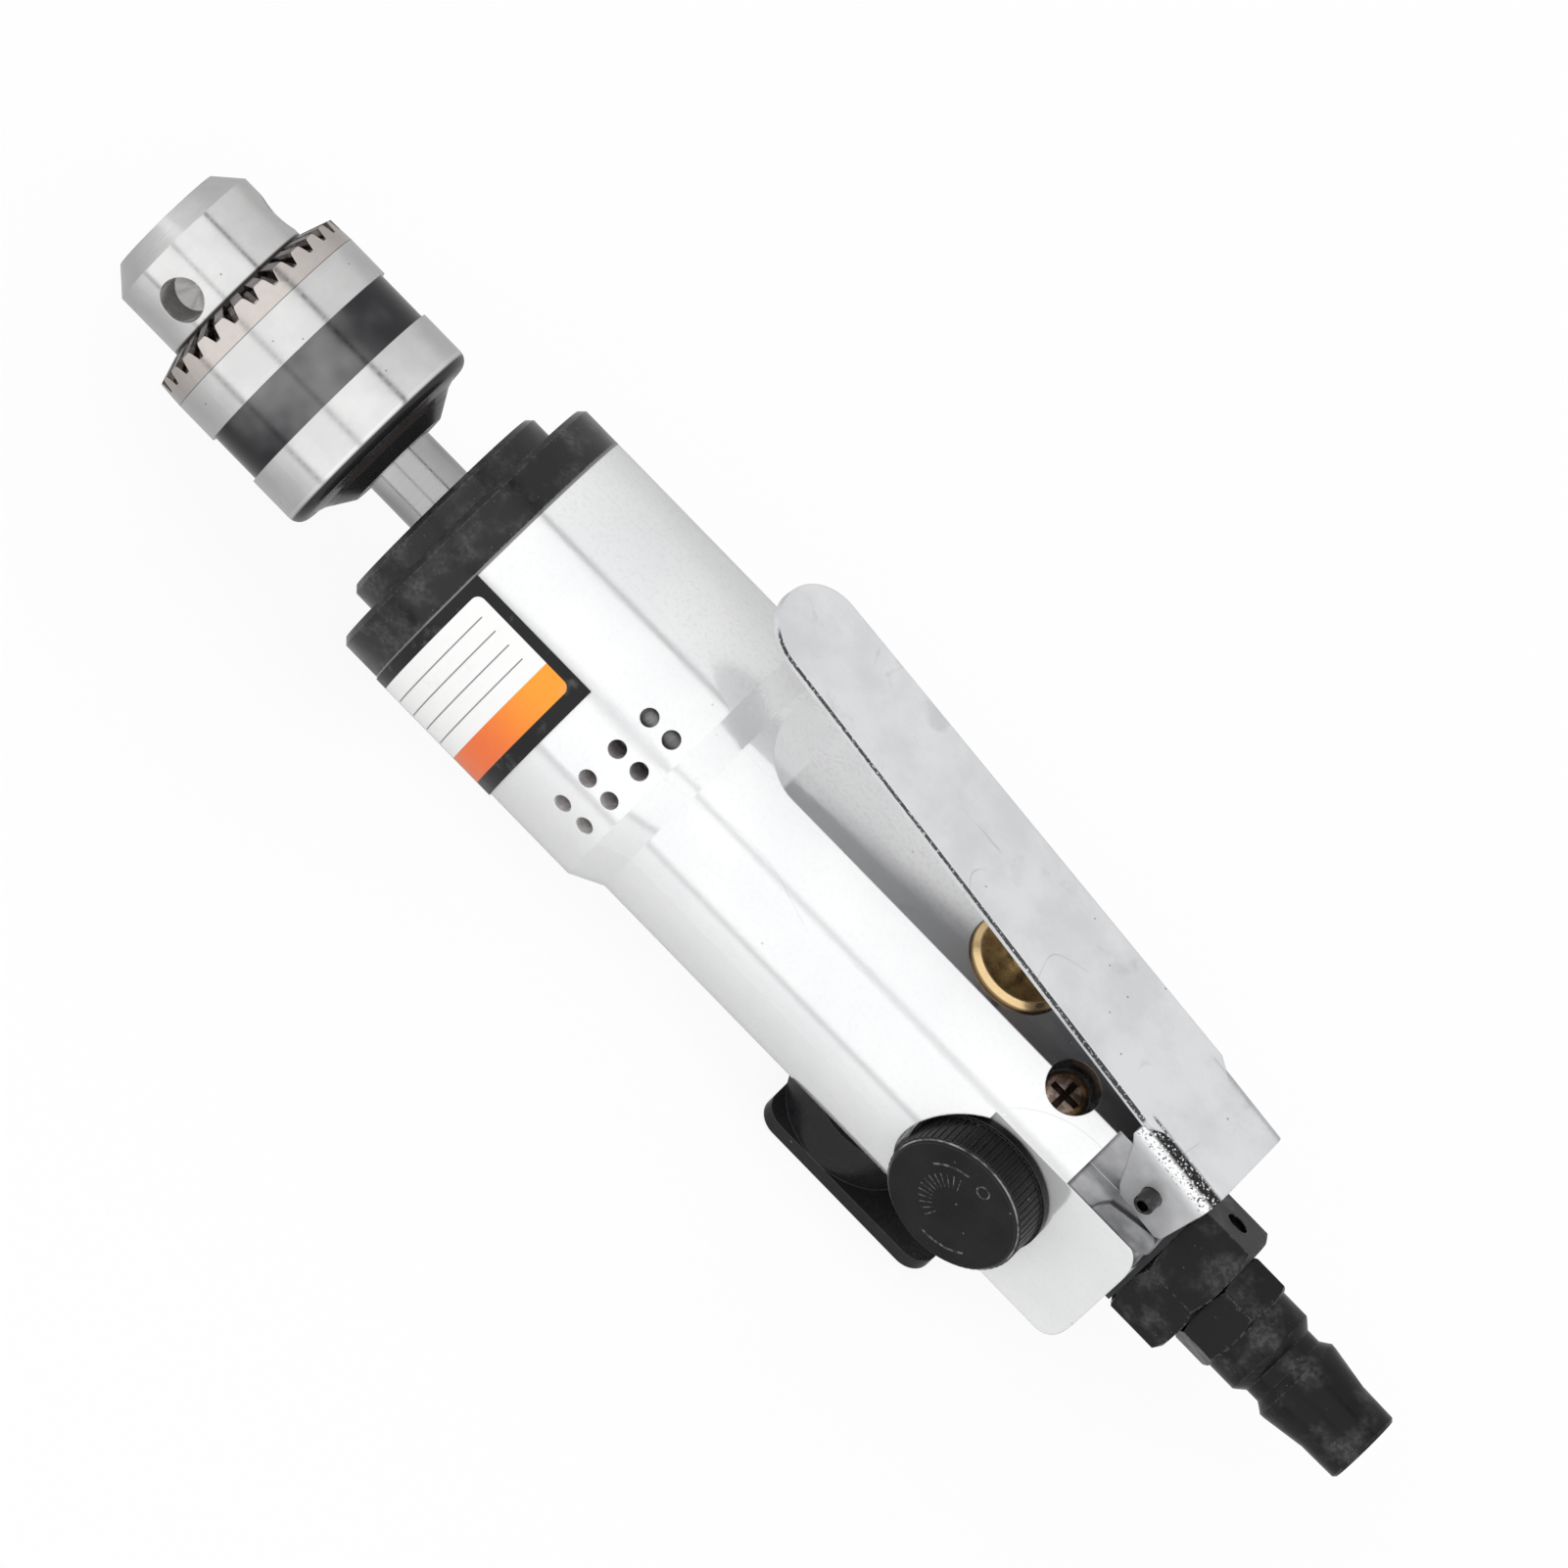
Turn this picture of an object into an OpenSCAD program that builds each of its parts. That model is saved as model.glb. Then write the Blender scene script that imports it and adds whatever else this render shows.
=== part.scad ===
/* [Housing] */
// Radius of the barrel round the motor and gears
barrel_r = 22.3; // [21.5:0.1:24]
// Length of the barrel
barrel_l = 36.5; // [33:0.5:44]
// Length of the shoulder between barrel and handle
shoulder_l = 4.6; // [3:0.2:7]
// Radius of the handle
handle_r = 20; // [19.5:0.1:21]
// Length of the handle
handle_l = 85; // [84.5:0.5:95]
// Height of the flat along the top of the handle
top_flat_z = 18.15; // [17.8:0.05:18.8]
// Radius of the cutter that the top flat runs out with before the shoulder
flat_cutter_r = 20; // [12:1:25]
// Round of the housing's rear corner
rear_round_r = 3; // [1:0.25:4]
// Distance of the milled side flat from the tool axis
side_flat_y = 15.8; // [15:0.1:17]
// Length of the side flat in front of the regulator axis
side_flat_lead = 4.8; // [3:0.2:8]
// Length of each recess for the lever's ears
ear_recess_l = 14.3; // [13.5:0.1:18]
// Height of the recess ledge at its inner edge
ledge_z = 9.6; // [8.5:0.1:10]

/* [Clamp nut] */
// Length of the large step
nut_l = 6.5; // [5.5:0.1:9]
// Radius of the small step
nut_step_r = 16.5; // [15:0.1:19]
// Length of the small step
nut_step_l = 4; // [2:0.1:6]
// Radius of the hole that the spindle passes through
nut_hole_r = 7; // [6:0.1:8]

/* [Air inlet] */
// Size across flats of the inlet bushing's hexagon
inlet_af = 19; // [17:0.5:21]
// Length of the inlet hexagon
inlet_hex_l = 9.4; // [8:0.2:13]
// Thickness of the washer under the inlet hexagon
washer_t = 1; // [0.6:0.1:2]
// Size across flats of the air plug's hexagon
plug_af = 14; // [12:0.5:16]
// Length of the plug's hexagon
plug_hex_l = 6.2; // [5:0.2:9]
// Radius of the plug behind its hexagon
plug_r = 6.9; // [6.2:0.1:7.5]
// Length of the plug's first cylinder
plug_cyl_l = 4.8; // [3:0.2:7]
// Radius at the bottom of the plug's locking groove
plug_groove_r = 5.7; // [5.2:0.1:6.2]
// Length of the locking groove
plug_groove_l = 4.2; // [3:0.2:6]
// Length of the plug's nose
plug_nose_l = 13.4; // [9:0.2:17]
// Radius of the plug's end
plug_tip_r = 5.6; // [5:0.1:6]
// Radius of the air way through the plug
plug_bore_r = 3.75; // [3:0.05:4]
// Radius of the thread that joins plug and inlet bushing
plug_thread_r = 6.5; // [5.5:0.1:6.9]

/* [Throttle] */
// Distance of the lever pin from the housing's rear end
lever_pin_x = 5.2; // [4.5:0.1:6.5]
// Height of the lever pin
lever_pin_z = 15.4; // [15:0.1:15.8]
// Radius of the lever pin
lever_pin_r = 1.5; // [1.2:0.1:1.7]
// Length of the pin outside each ear
lever_pin_out = 2.4; // [1:0.1:3.5]
// Thickness of the lever's sheet
lever_t = 1.4; // [1:0.1:1.6]
// Rise of the lever from its rear end to its tip, in degrees
lever_tilt = 8.6; // [8:0.1:10]
// Height of the lever's top above its pin
lever_top_h = 7.9; // [7.5:0.1:9]
// Length of the lever from its pin to its tip
lever_reach = 91.3; // [80:0.5:96]
// Radius of the lever's round tip
lever_tip_r = 7.2; // [6:0.1:8]
// Distance of the ears' outer faces from the middle
ear_y = 9.5; // [9.3:0.1:10.5]
// Distance of the throttle valve in front of the housing's rear end
valve_x = 39.3; // [37:0.1:41]
// Radius of the valve bushing's cap
bushing_r = 7.4; // [6.5:0.1:7.8]
// Height of the bushing's cap above the top flat
bushing_h = 1.3; // [0.8:0.1:2]
// Radius of the valve stem
stem_r = 2; // [1.6:0.1:2.4]
// Radius of the valve spring's curls
spring_r = 3.4; // [3:0.1:3.7]
// Thickness of the valve spring's wire
spring_wire = 0.7; // [0.5:0.05:0.9]

/* [Reverse lever] */
// Radius of the reverse lever's hub
reverse_hub_r = 11.1; // [10:0.1:12]
// Half width of the reverse lever's plate
reverse_plate_w = 11.2; // [10:0.1:13]
// Length of the plate in front of its axis
reverse_plate_front = 9.9; // [9:0.1:13]
// Length of the plate behind its axis
reverse_plate_rear = 20.5; // [16:0.5:26]
// Thickness of the plate
reverse_plate_t = 2.2; // [1.5:0.1:3.5]
// Height of the plate's top under the tool axis
reverse_plate_z = 26; // [24:0.1:28]

/* [Regulator] */
// Distance of the regulator in front of the housing's rear end
regulator_x = 22.7; // [21:0.1:23.4]
// Height of the regulator's axis
regulator_z = 1; // [0:0.1:1.4]
// Radius of the knob's skirt
knob_r = 10.8; // [9.5:0.1:11]
// Radius of the knob's knurled rim
knob_rim_r = 10.4; // [9:0.1:10.8]
// Radius of the knob's face
knob_face_r = 9.8; // [8.5:0.1:10.2]
// Thickness of the knob
knob_t = 7; // [5:0.1:9]
// Number of grooves round the knob
knob_grooves = 60; // [24:4:72]
// Radius of the regulator's stem
regulator_stem_r = 4; // [3:0.1:4.6]
// Radius of the head of the screw that keeps the stem
keeper_head_r = 3.4; // [2.8:0.1:3.7]

/* [Exhaust and plate] */
// Radius of each exhaust hole
exhaust_r = 1.3; // [0.8:0.05:1.6]
// Angle between neighbouring exhaust holes
exhaust_step = 15.5; // [12:0.5:18]
// Distance between the two rows of exhaust holes
exhaust_pitch = 4.1; // [3.6:0.1:5]
// Length of the name plate's blank along the barrel
plate_l = 21.5; // [14:0.5:24]
// Angle that the plate covers round the barrel
plate_angle = 82; // [40:1:100]
// Thickness of the plate
plate_t = 0.25; // [0.2:0.05:0.5]

/* [Motor and gears] */
// Radius of the motor cylinder and of the ring gear
motor_r = 16; // [15.6:0.1:16.3]
// Length of the motor cylinder
motor_l = 28; // [22:0.5:30]
// Thickness of each motor end plate
end_plate_t = 6; // [5:0.1:7]
// Radius of the motor chamber
chamber_r = 13.2; // [12.6:0.1:13.4]
// Radius of the rotor
rotor_r = 11.8; // [11:0.1:12.3]
// Radius of the rotor's shaft
rotor_shaft_r = 2.6; // [2:0.1:2.8]
// Number of vanes
vane_count = 5; // [4:1:5]
// Thickness of each vane
vane_t = 1.6; // [1:0.1:2]
// Module of the gear teeth
gear_module = 0.56; // [0.5:0.01:0.58]
// Teeth on the rotor's pinion
sun_teeth = 12; // [12:12:12]
// Teeth on each planet gear
planet_teeth = 18; // [18:18:18]
// Width of the gears
gear_w = 8; // [6:0.5:9]
// Radius of each planet pin
planet_pin_r = 2; // [1.5:0.1:2.2]

/* [Spindle and chuck] */
// Radius of the spindle
spindle_r = 5.3; // [4.6:0.1:5.5]
// Length of spindle that shows between clamp nut and chuck
spindle_show_l = 8.1; // [5:0.1:12]
// Radius of the chuck's nose
nose_r = 11.45; // [11:0.05:11.8]
// Radius of the nose's front face
nose_face_r = 8.45; // [7.5:0.05:9.5]
// Length of the nose in front of the sleeve
nose_l = 14; // [12:0.1:16]
// Radius of the chuck's sleeve
sleeve_r = 15.9; // [15.2:0.1:17]
// Length of the sleeve
sleeve_l = 27.6; // [26:0.1:30]
// Length of the cone behind the sleeve
tail_l = 2.7; // [2:0.1:5]
// Radius of the cone's rear end
tail_r = 7.8; // [7:0.1:10]
// Distance of the sleeve's middle band from its front end
band_front = 11.3; // [9:0.1:13]
// Length of the middle band
band_l = 7.7; // [5:0.1:8.5]
// Depth of the middle band
band_depth = 0.45; // [0.2:0.05:0.8]
// Teeth on the sleeve's bevel ring
sleeve_teeth = 27; // [20:1:30]
// Radius of the hole for the bit
bit_hole_r = 3.4; // [3.3:0.05:3.6]
// Radius of the three key holes
key_hole_r = 3.2; // [2.5:0.05:3.4]
// Radius of each jaw
jaw_r = 2.3; // [2:0.05:2.4]
// Slope of the jaws to the tool axis, in degrees
jaw_slope = 15; // [14:0.5:16]

/* [Fits] */
// Radial clearance of parts that turn on each other
run_fit = 0.04; // [0.02:0.01:0.08]
// Gap between faces that move past each other
face_gap = 0.3; // [0.2:0.05:0.5]

/* [Hidden] */
$fn = 64;
eps = 0.01;

// Places along the tool axis, from the plug's end forward
plug_l = plug_nose_l + plug_groove_l + plug_cyl_l + plug_hex_l;
inlet_x = plug_l + inlet_hex_l;
rear_x = inlet_x + washer_t;
shoulder_x = rear_x + handle_l;
barrel_x = shoulder_x + shoulder_l;
front_x = barrel_x + barrel_l;
nut_step_x = front_x + nut_l;
nut_end_x = nut_step_x + nut_step_l;
tail_x = nut_end_x + spindle_show_l;
sleeve_x = tail_x + tail_l;
nose_x = sleeve_x + sleeve_l;
tip_x = nose_x + nose_l;

// Clamp nut, flush with the barrel, and its spindle bearing
nut_r = barrel_r;
nut_thread_l = 7;
nut_thread_r = 20;
bearing_r = 13;
bearing_w = 8;
ring_front_x = front_x - nut_thread_l;
bearing_x = ring_front_x;

// Gear train
planet_orbit = gear_module * (sun_teeth + planet_teeth) / 2;
ring_teeth = sun_teeth + 2 * planet_teeth;
carrier_t = 5;
tooth_share = 0.4;
ring_rear_x = ring_front_x - gear_w - carrier_t - 3 * face_gap;
gear_x0 = ring_rear_x + face_gap;
carrier_x = gear_x0 + gear_w + face_gap;
ring_tooth_r = gear_module * (ring_teeth / 2 - 0.9);
ring_root_r = gear_module * (ring_teeth / 2 + 1.25);
carrier_r = ring_tooth_r - 0.5;

// Motor
front_plate_x = ring_rear_x - end_plate_t;
motor_x = front_plate_x - motor_l;
rear_plate_x = motor_x - end_plate_t;
rotor_bearing_r = 8;
rotor_bearing_w = 4;
rotor_nose_r = 4.4;
chamber_shift = chamber_r - rotor_r - 0.1;
rotor_x = motor_x + face_gap;
rotor_l = motor_l - 2 * face_gap;
vane_h = 6;

// Valves in the handle
valve_axis_x = rear_x + valve_x;
regulator_axis_x = rear_x + regulator_x;
pin_axis_x = rear_x + lever_pin_x;
valve_bore_r = 5.6;
valve_floor_z = -7;
reverse_roof_z = -8.5;
reverse_seat_z = -18.3;
reverse_bore_r = 8.5;
reverse_sleeve_t = 1.5;
reverse_core_r = reverse_bore_r - reverse_sleeve_t - run_fit;
bushing_l = 7;
inlet_bore_r = 5;
inlet_thread_r = 8;
inlet_thread_l = 11;
air_way_r = 2.5;
air_way_y = 6.5;
seal_r = 0.9;
seal_squeeze = 0.02;

// Lever, worked out in its own frame: origin on the pin, along the sheet
oil_screw_sunk = 0.8;
plug_waist_share = 0.45;
plug_edge = 0.4;
lever_run = lever_reach / cos(lever_tilt);
lever_back = 5.6;
ear_front = 8.6;
lever_neck = 0.6;
lever_taper = 4.5;
ear_drop = 4.6;
ear_step = 1.2;
ear_corner = 0.8;
ear_foot_x = ear_front - 6.2;
ear_section_l = 10;
ear_inner_y = ear_y - lever_t;
ear_gap = 0.3;
recess_y = ear_inner_y - ear_gap;
bend_r = 2.9;
pin_hollow_r = 0.9;
pin_hollow_l = 2.5;
lever_low = lever_top_h - lever_t;
stem_arm = valve_axis_x - pin_axis_x;
stem_dome = 0.6;
stem_top_z = lever_pin_z + lever_low / cos(lever_tilt) + stem_arm * tan(lever_tilt) - face_gap;

// Knob
knob_seat_y = side_flat_y + face_gap;
knob_skirt_t = 1.2;
spot_face_r = knob_r + 0.5;
regulator_stem_in = 9;

// Chuck
jaw_front_rho = 2;
jaw_l = 22;
jaw_nut_back = 12.3;
jaw_nut_x = sleeve_x + jaw_nut_back;
jaw_nut_w = 6;
chuck_body_r = 13;
chuck_bore_l = 27;
bit_mouth_r = 4;
bit_mouth_l = 14.3;
screw_head_r = 2.7;
screw_seat_r = 2.9;

// Exhaust, air ways and screws
exhaust_back = 6.9;
exhaust_x = barrel_x + exhaust_back;
exhaust_low = 1.5;
air_way_z = -12.5;
bushing_flange_t = 1;
head_r = 4.2;
head_low_z = 2.2;
head_top_z = 4.2;
spring_low_z = valve_floor_z;
spring_high_z = head_low_z;
spring_curls = 5;
reverse_hub_top_z = reverse_seat_z - face_gap;
reverse_screw_r = 2;
reverse_screw_l = 3;
reverse_screw_head_r = 3.6;
reverse_screw_head_l = 1.6;
keeper_angle = 66;
keeper_seat_r = 12.6;
flat_end_gap = 1;
keeper_bore_r = 3.93;
keeper_thread_r = 1.5;
keeper_tip_r = 5.4;
keeper_groove_y = 2;
keeper_groove_w = 4;
keeper_groove_r = 3;
seal_y = 12;
knob_socket_r = 2.6;
knob_cap_t = 1.6;
knob_groove_r = 0.35;

// Inlet and oil hole
plug_thread_l = 8;
inlet_way_r = 4.5;
screen_r = 5.2;
screen_t = 0.8;
inlet_turn = 58;
plug_turn = 27;
oil_angle = 118;
oil_x = plug_l + inlet_hex_l / 2;
oil_hole_r = 1.7;
oil_key_r = 0.8;

// Chuck places
chuck_thread_l = 8;
screw_thread_r = 2;
screw_l = 6;
screw_head_l = 2.5;
screw_seat_l = 3;
screw_key_af = 2.5;
screw_seat_x = tip_x - chuck_bore_l - screw_seat_l;
nose_chamfer = 3.4;
jaw_turn = -43;
jaw_hole_l = 34;
jaw_back = 10.4;
jaw_travel = 12.5;
key_hole_back = 9.6;
key_hole_floor_r = 6.5;
sleeve_round_r = 1.9;
tooth_ring_l = 5;
tooth_bevel_l = 1.25;
tooth_top_r = sleeve_r - 0.2;
tooth_front_r = 12;
tooth_depth = 1.85;
tooth_slope = 31.5;
tooth_floor = 0.45;
tooth_turn = 12.1;
tooth_groove_l = 8;

function jaw_rho(x) = jaw_front_rho + (tip_x - x) * tan(jaw_slope);
function jaw_nut_rho(x) = jaw_rho(x) + (jaw_r + face_gap) / cos(jaw_slope);

// Groove of the chuck body that the jaw nut runs in
nut_groove_r = jaw_nut_rho(jaw_nut_x + jaw_nut_w) - face_gap;

// A cylinder along the tool axis, from x0 to x1
module along_x(r, x0, x1) {
    translate([x0, 0, 0])
        rotate([0, 90, 0])
            cylinder(r = r, h = x1 - x0);
}

// A ring along the tool axis
module ring_x(r_out, r_in, x0, x1) {
    difference() {
        along_x(r_out, x0, x1);
        along_x(r_in, x0 - 1, x1 + 1);
    }
}

// A cone along the tool axis, radius ra at x0 and rb at x1
module cone_x(ra, rb, x0, x1) {
    translate([x0, 0, 0])
        rotate([0, 90, 0])
            cylinder(r1 = ra, r2 = rb, h = x1 - x0);
}

// A turned piece: points are [place along the axis, radius]
module turned(points) {
    rotate([90, 0, 90])
        rotate_extrude()
            polygon([for (p = points) [p[1], p[0]]]);
}

// A hexagonal bar along the tool axis with one face turned by an angle
module hex_x(af, x0, x1, turn) {
    translate([x0, 0, 0])
        rotate([0, 90, 0])
            rotate([0, 0, turn])
                cylinder(r = af / sqrt(3), h = x1 - x0, $fn = 6);
}

// A hexagonal bar whose corners are turned down at its ends
module turned_hex(af, x0, x1, turn) {
    corner_r = af / sqrt(3);
    cut = (corner_r - af / 2) * 0.9;
    intersection() {
        hex_x(af, x0, x1, turn);
        turned([[x0, 0], [x0, corner_r - cut], [x0 + cut * 0.6, corner_r + eps],
            [x1 - cut * 0.6, corner_r + eps], [x1, corner_r - cut], [x1, 0]]);
    }
}

// Outline of a spur gear with straight-sided teeth
module gear_outline(teeth, share) {
    root_r = gear_module * (teeth / 2 - 1.25);
    pitch_r = gear_module * teeth / 2;
    top_r = gear_module * (teeth / 2 + 0.9);
    step = 360 / teeth;
    polygon([for (i = [0 : teeth - 1]) for (p = [[root_r, -0.8], [pitch_r, -0.5], [top_r, -0.28],
        [top_r, 0.28], [pitch_r, 0.5], [root_r, 0.8]])
        p[0] * [cos((i + p[1] * share) * step), sin((i + p[1] * share) * step)]]);
}

module gear_x(teeth, x0, x1, turn) {
    translate([x0, 0, 0])
        rotate([90, 0, 90])
            rotate([0, 0, turn])
                linear_extrude(x1 - x0)
                    gear_outline(teeth, tooth_share);
}

// Outside of the barrel, shoulder and handle, with a rounded rear corner
module housing_outside() {
    edge_r = handle_r - rear_round_r;
    edge_x = rear_x + rear_round_r;
    rotate([90, 0, 90])
        rotate_extrude() {
            polygon([[0, rear_x], [edge_r, rear_x], [edge_r, edge_x], [handle_r, edge_x],
                [handle_r, shoulder_x], [barrel_r, barrel_x], [barrel_r, front_x], [0, front_x]]);
            translate([edge_r, edge_x])
                circle(r = rear_round_r);
        }
}

// Flat along the top of the handle, running out before the shoulder
module top_flat_cut() {
    flat_depth = handle_r - top_flat_z;
    end_x = shoulder_x - flat_end_gap - sqrt(flat_depth * (2 * flat_cutter_r - flat_depth));
    translate([rear_x - 1, -barrel_r, top_flat_z])
        cube([end_x - rear_x + 1, 2 * barrel_r, barrel_r]);
    translate([end_x, 0, top_flat_z + flat_cutter_r])
        rotate([90, 0, 0])
            cylinder(r = flat_cutter_r, h = 2 * barrel_r, center = true);
}

// Recesses for the ears of the lever, with a sloping ledge
module ear_recess_cut() {
    ledge_out_z = sqrt(pow(handle_r, 2) - pow(side_flat_y, 2));
    for (side = [0, 1])
        mirror([0, side, 0])
            translate([rear_x - 1, 0, 0])
                rotate([90, 0, 90])
                    linear_extrude(ear_recess_l + 1)
                        polygon([[recess_y, top_flat_z + 1], [recess_y, ledge_z], [side_flat_y, ledge_out_z],
                            [barrel_r, ledge_out_z], [barrel_r, top_flat_z + 1]]);
}

// Milled side with the round seat of the knob
module side_flat_cut() {
    translate([rear_x - 1, side_flat_y, -barrel_r])
        cube([regulator_x + side_flat_lead + 1, barrel_r, 2 * barrel_r]);
    translate([regulator_axis_x, side_flat_y, regulator_z])
        rotate([-90, 0, 0])
            cylinder(r = spot_face_r, h = barrel_r);
}

// Two rows of exhaust holes round the barrel
module exhaust_holes(r_in, r_out) {
    for (col = [0, 1], row = [0 : 3])
        translate([exhaust_x - col * exhaust_pitch, 0, 0])
            rotate([exhaust_low + row * exhaust_step, 0, 0])
                rotate([-90, 0, 0])
                    translate([0, 0, r_in])
                        cylinder(r = exhaust_r, h = r_out - r_in);
}

// Hole of the screw that keeps the regulator's stem
module keeper_hole(r_head, r_thread) {
    translate([regulator_axis_x, 0, 0])
        rotate([keeper_angle - 90, 0, 0]) {
            translate([0, 0, keeper_seat_r])
                cylinder(r = r_head, h = barrel_r);
            translate([0, 0, keeper_tip_r])
                cylinder(r = r_thread, h = keeper_seat_r - keeper_tip_r + eps);
        }
}

module housing() {
    color("gainsboro")
        difference() {
            housing_outside();
            top_flat_cut();
            ear_recess_cut();
            side_flat_cut();
            along_x(motor_r + run_fit, rear_plate_x, front_x + 1);
            along_x(nut_thread_r, ring_front_x, front_x + 1);
            along_x(inlet_thread_r, rear_x - 1, rear_x + inlet_thread_l);
            along_x(inlet_bore_r, rear_x, regulator_axis_x);
            along_x(air_way_r, regulator_axis_x, valve_axis_x);
            exhaust_holes(motor_r - 1, barrel_r + 1);
            for (side = [-1, 1])
                translate([0, side * air_way_y, air_way_z])
                    along_x(air_way_r, valve_axis_x, rear_plate_x + 1);
            translate([valve_axis_x, 0, valve_floor_z])
                cylinder(r = valve_bore_r, h = top_flat_z - valve_floor_z + 1);
            translate([valve_axis_x, 0, top_flat_z - bushing_flange_t])
                cylinder(r = bushing_r + run_fit, h = bushing_flange_t + 1);
            translate([valve_axis_x, 0, reverse_roof_z - 1])
                cylinder(r = air_way_r, h = valve_floor_z - reverse_roof_z + 2);
            translate([valve_axis_x, 0, -barrel_r])
                cylinder(r = reverse_bore_r, h = barrel_r + reverse_roof_z);
            translate([valve_axis_x, 0, -barrel_r])
                cylinder(r = reverse_hub_r + face_gap, h = barrel_r + reverse_seat_z);
            translate([regulator_axis_x, -regulator_stem_in, regulator_z])
                rotate([-90, 0, 0])
                    cylinder(r = regulator_stem_r + run_fit, h = regulator_stem_in + barrel_r);
            keeper_hole(keeper_bore_r, keeper_thread_r);
            translate([pin_axis_x, 0, lever_pin_z])
                rotate([90, 0, 0])
                    cylinder(r = lever_pin_r, h = 2 * barrel_r, center = true);
        }
}

// Front collar that holds the bearing and clamps the gears and the motor
module clamp_nut() {
    edge = 0.8;
    color("dimgray")
        difference() {
            turned([[ring_front_x, 0], [ring_front_x, nut_thread_r], [front_x, nut_thread_r],
                [front_x, nut_r], [nut_step_x - edge, nut_r], [nut_step_x, nut_r - edge],
                [nut_step_x, nut_step_r], [nut_end_x - edge, nut_step_r], [nut_end_x, nut_step_r - edge],
                [nut_end_x, 0]]);
            along_x(bearing_r, ring_front_x - 1, bearing_x + bearing_w);
            along_x(nut_hole_r, ring_front_x - 1, nut_end_x + 1);
        }
}

module spindle_bearing() {
    color("silver")
        ring_x(bearing_r, spindle_r + run_fit, bearing_x, bearing_x + bearing_w);
}

module ring_gear() {
    s = tooth_share;
    pitch_r = gear_module * ring_teeth / 2;
    step = 360 / ring_teeth;
    color("slategray")
        difference() {
            along_x(motor_r, ring_rear_x, ring_front_x);
            translate([ring_rear_x - 1, 0, 0])
                rotate([90, 0, 90])
                    linear_extrude(ring_front_x - ring_rear_x + 2)
                        polygon([for (i = [0 : ring_teeth - 1]) for (p = [[ring_tooth_r, 0.28 * s],
                            [pitch_r, 0.5 * s], [ring_root_r, 0.8 * s], [ring_root_r, 1 - 0.8 * s],
                            [pitch_r, 1 - 0.5 * s], [ring_tooth_r, 1 - 0.28 * s]])
                            p[0] * [cos((i + p[1]) * step), sin((i + p[1]) * step)]]);
        }
}

module motor_cylinder() {
    color("lightgray")
        difference() {
            along_x(motor_r, motor_x, front_plate_x);
            translate([0, 0, chamber_shift])
                along_x(chamber_r, motor_x - 1, front_plate_x + 1);
            exhaust_holes(chamber_r - 3, motor_r + 1);
            for (side = [-1, 1])
                translate([0, side * air_way_y, air_way_z])
                    along_x(air_way_r / 2, motor_x - 1, front_plate_x + 1);
        }
}

module front_end_plate() {
    color("darkgray")
        difference() {
            along_x(motor_r, front_plate_x, ring_rear_x);
            along_x(rotor_nose_r + face_gap, front_plate_x - 1, ring_rear_x + 1);
            along_x(rotor_bearing_r, ring_rear_x - rotor_bearing_w, ring_rear_x + 1);
        }
}

module rear_end_plate() {
    color("darkgray")
        difference() {
            along_x(motor_r, rear_plate_x, motor_x);
            along_x(rotor_shaft_r + face_gap, rear_plate_x - 1, motor_x + 1);
            along_x(rotor_bearing_r, rear_plate_x - 1, rear_plate_x + rotor_bearing_w);
            for (side = [-1, 1])
                translate([0, side * air_way_y, air_way_z])
                    along_x(air_way_r / 2, rear_plate_x - 1, motor_x + 1);
        }
}

module rotor_bearing_front() {
    color("silver")
        ring_x(rotor_bearing_r, rotor_nose_r + run_fit, ring_rear_x - rotor_bearing_w, ring_rear_x);
}

module rotor_bearing_rear() {
    color("silver")
        ring_x(rotor_bearing_r, rotor_shaft_r + run_fit, rear_plate_x, rear_plate_x + rotor_bearing_w);
}

// Rotor with its slots, its two journals and the pinion that drives the planets
module rotor() {
    slot_gap = 0.05;
    color("steelblue")
        union() {
            difference() {
                along_x(rotor_r, rotor_x, rotor_x + rotor_l);
                for (i = [0 : vane_count - 1])
                    rotate([i * 360 / vane_count, 0, 0])
                        translate([rotor_x - 1, rotor_r - vane_h, -vane_t / 2 - slot_gap])
                            cube([rotor_l + 2, vane_h + 1, vane_t + 2 * slot_gap]);
            }
            along_x(rotor_shaft_r, rear_plate_x, rotor_x + eps);
            along_x(rotor_nose_r, rotor_x + rotor_l - eps, ring_rear_x);
            gear_x(sun_teeth, ring_rear_x - eps, gear_x0 + gear_w, 0);
        }
}

// One vane, pushed home in its slot
module vane(i) {
    color("saddlebrown")
        rotate([i * 360 / vane_count, 0, 0])
            translate([rotor_x, rotor_r - vane_h, -vane_t / 2])
                cube([rotor_l, vane_h - 0.1, vane_t]);
}

// Gear carrier and output shaft
module spindle() {
    shoulder_r = 7.5;
    color("silver")
        difference() {
            union() {
                along_x(carrier_r, carrier_x, carrier_x + carrier_t);
                along_x(shoulder_r, carrier_x, bearing_x - face_gap);
                along_x(spindle_r, carrier_x, sleeve_x + chuck_thread_l);
            }
            for (k = [0 : 2])
                rotate([k * 120, 0, 0])
                    translate([0, planet_orbit, 0])
                        along_x(planet_pin_r, carrier_x - 1, carrier_x + carrier_t + 1);
            along_x(screw_thread_r, sleeve_x + chuck_thread_l - screw_l, tip_x);
        }
}

module planet_pins() {
    color("silver")
        for (k = [0 : 2])
            rotate([k * 120, 0, 0])
                translate([0, planet_orbit, 0])
                    along_x(planet_pin_r, gear_x0, carrier_x + carrier_t);
}

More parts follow.
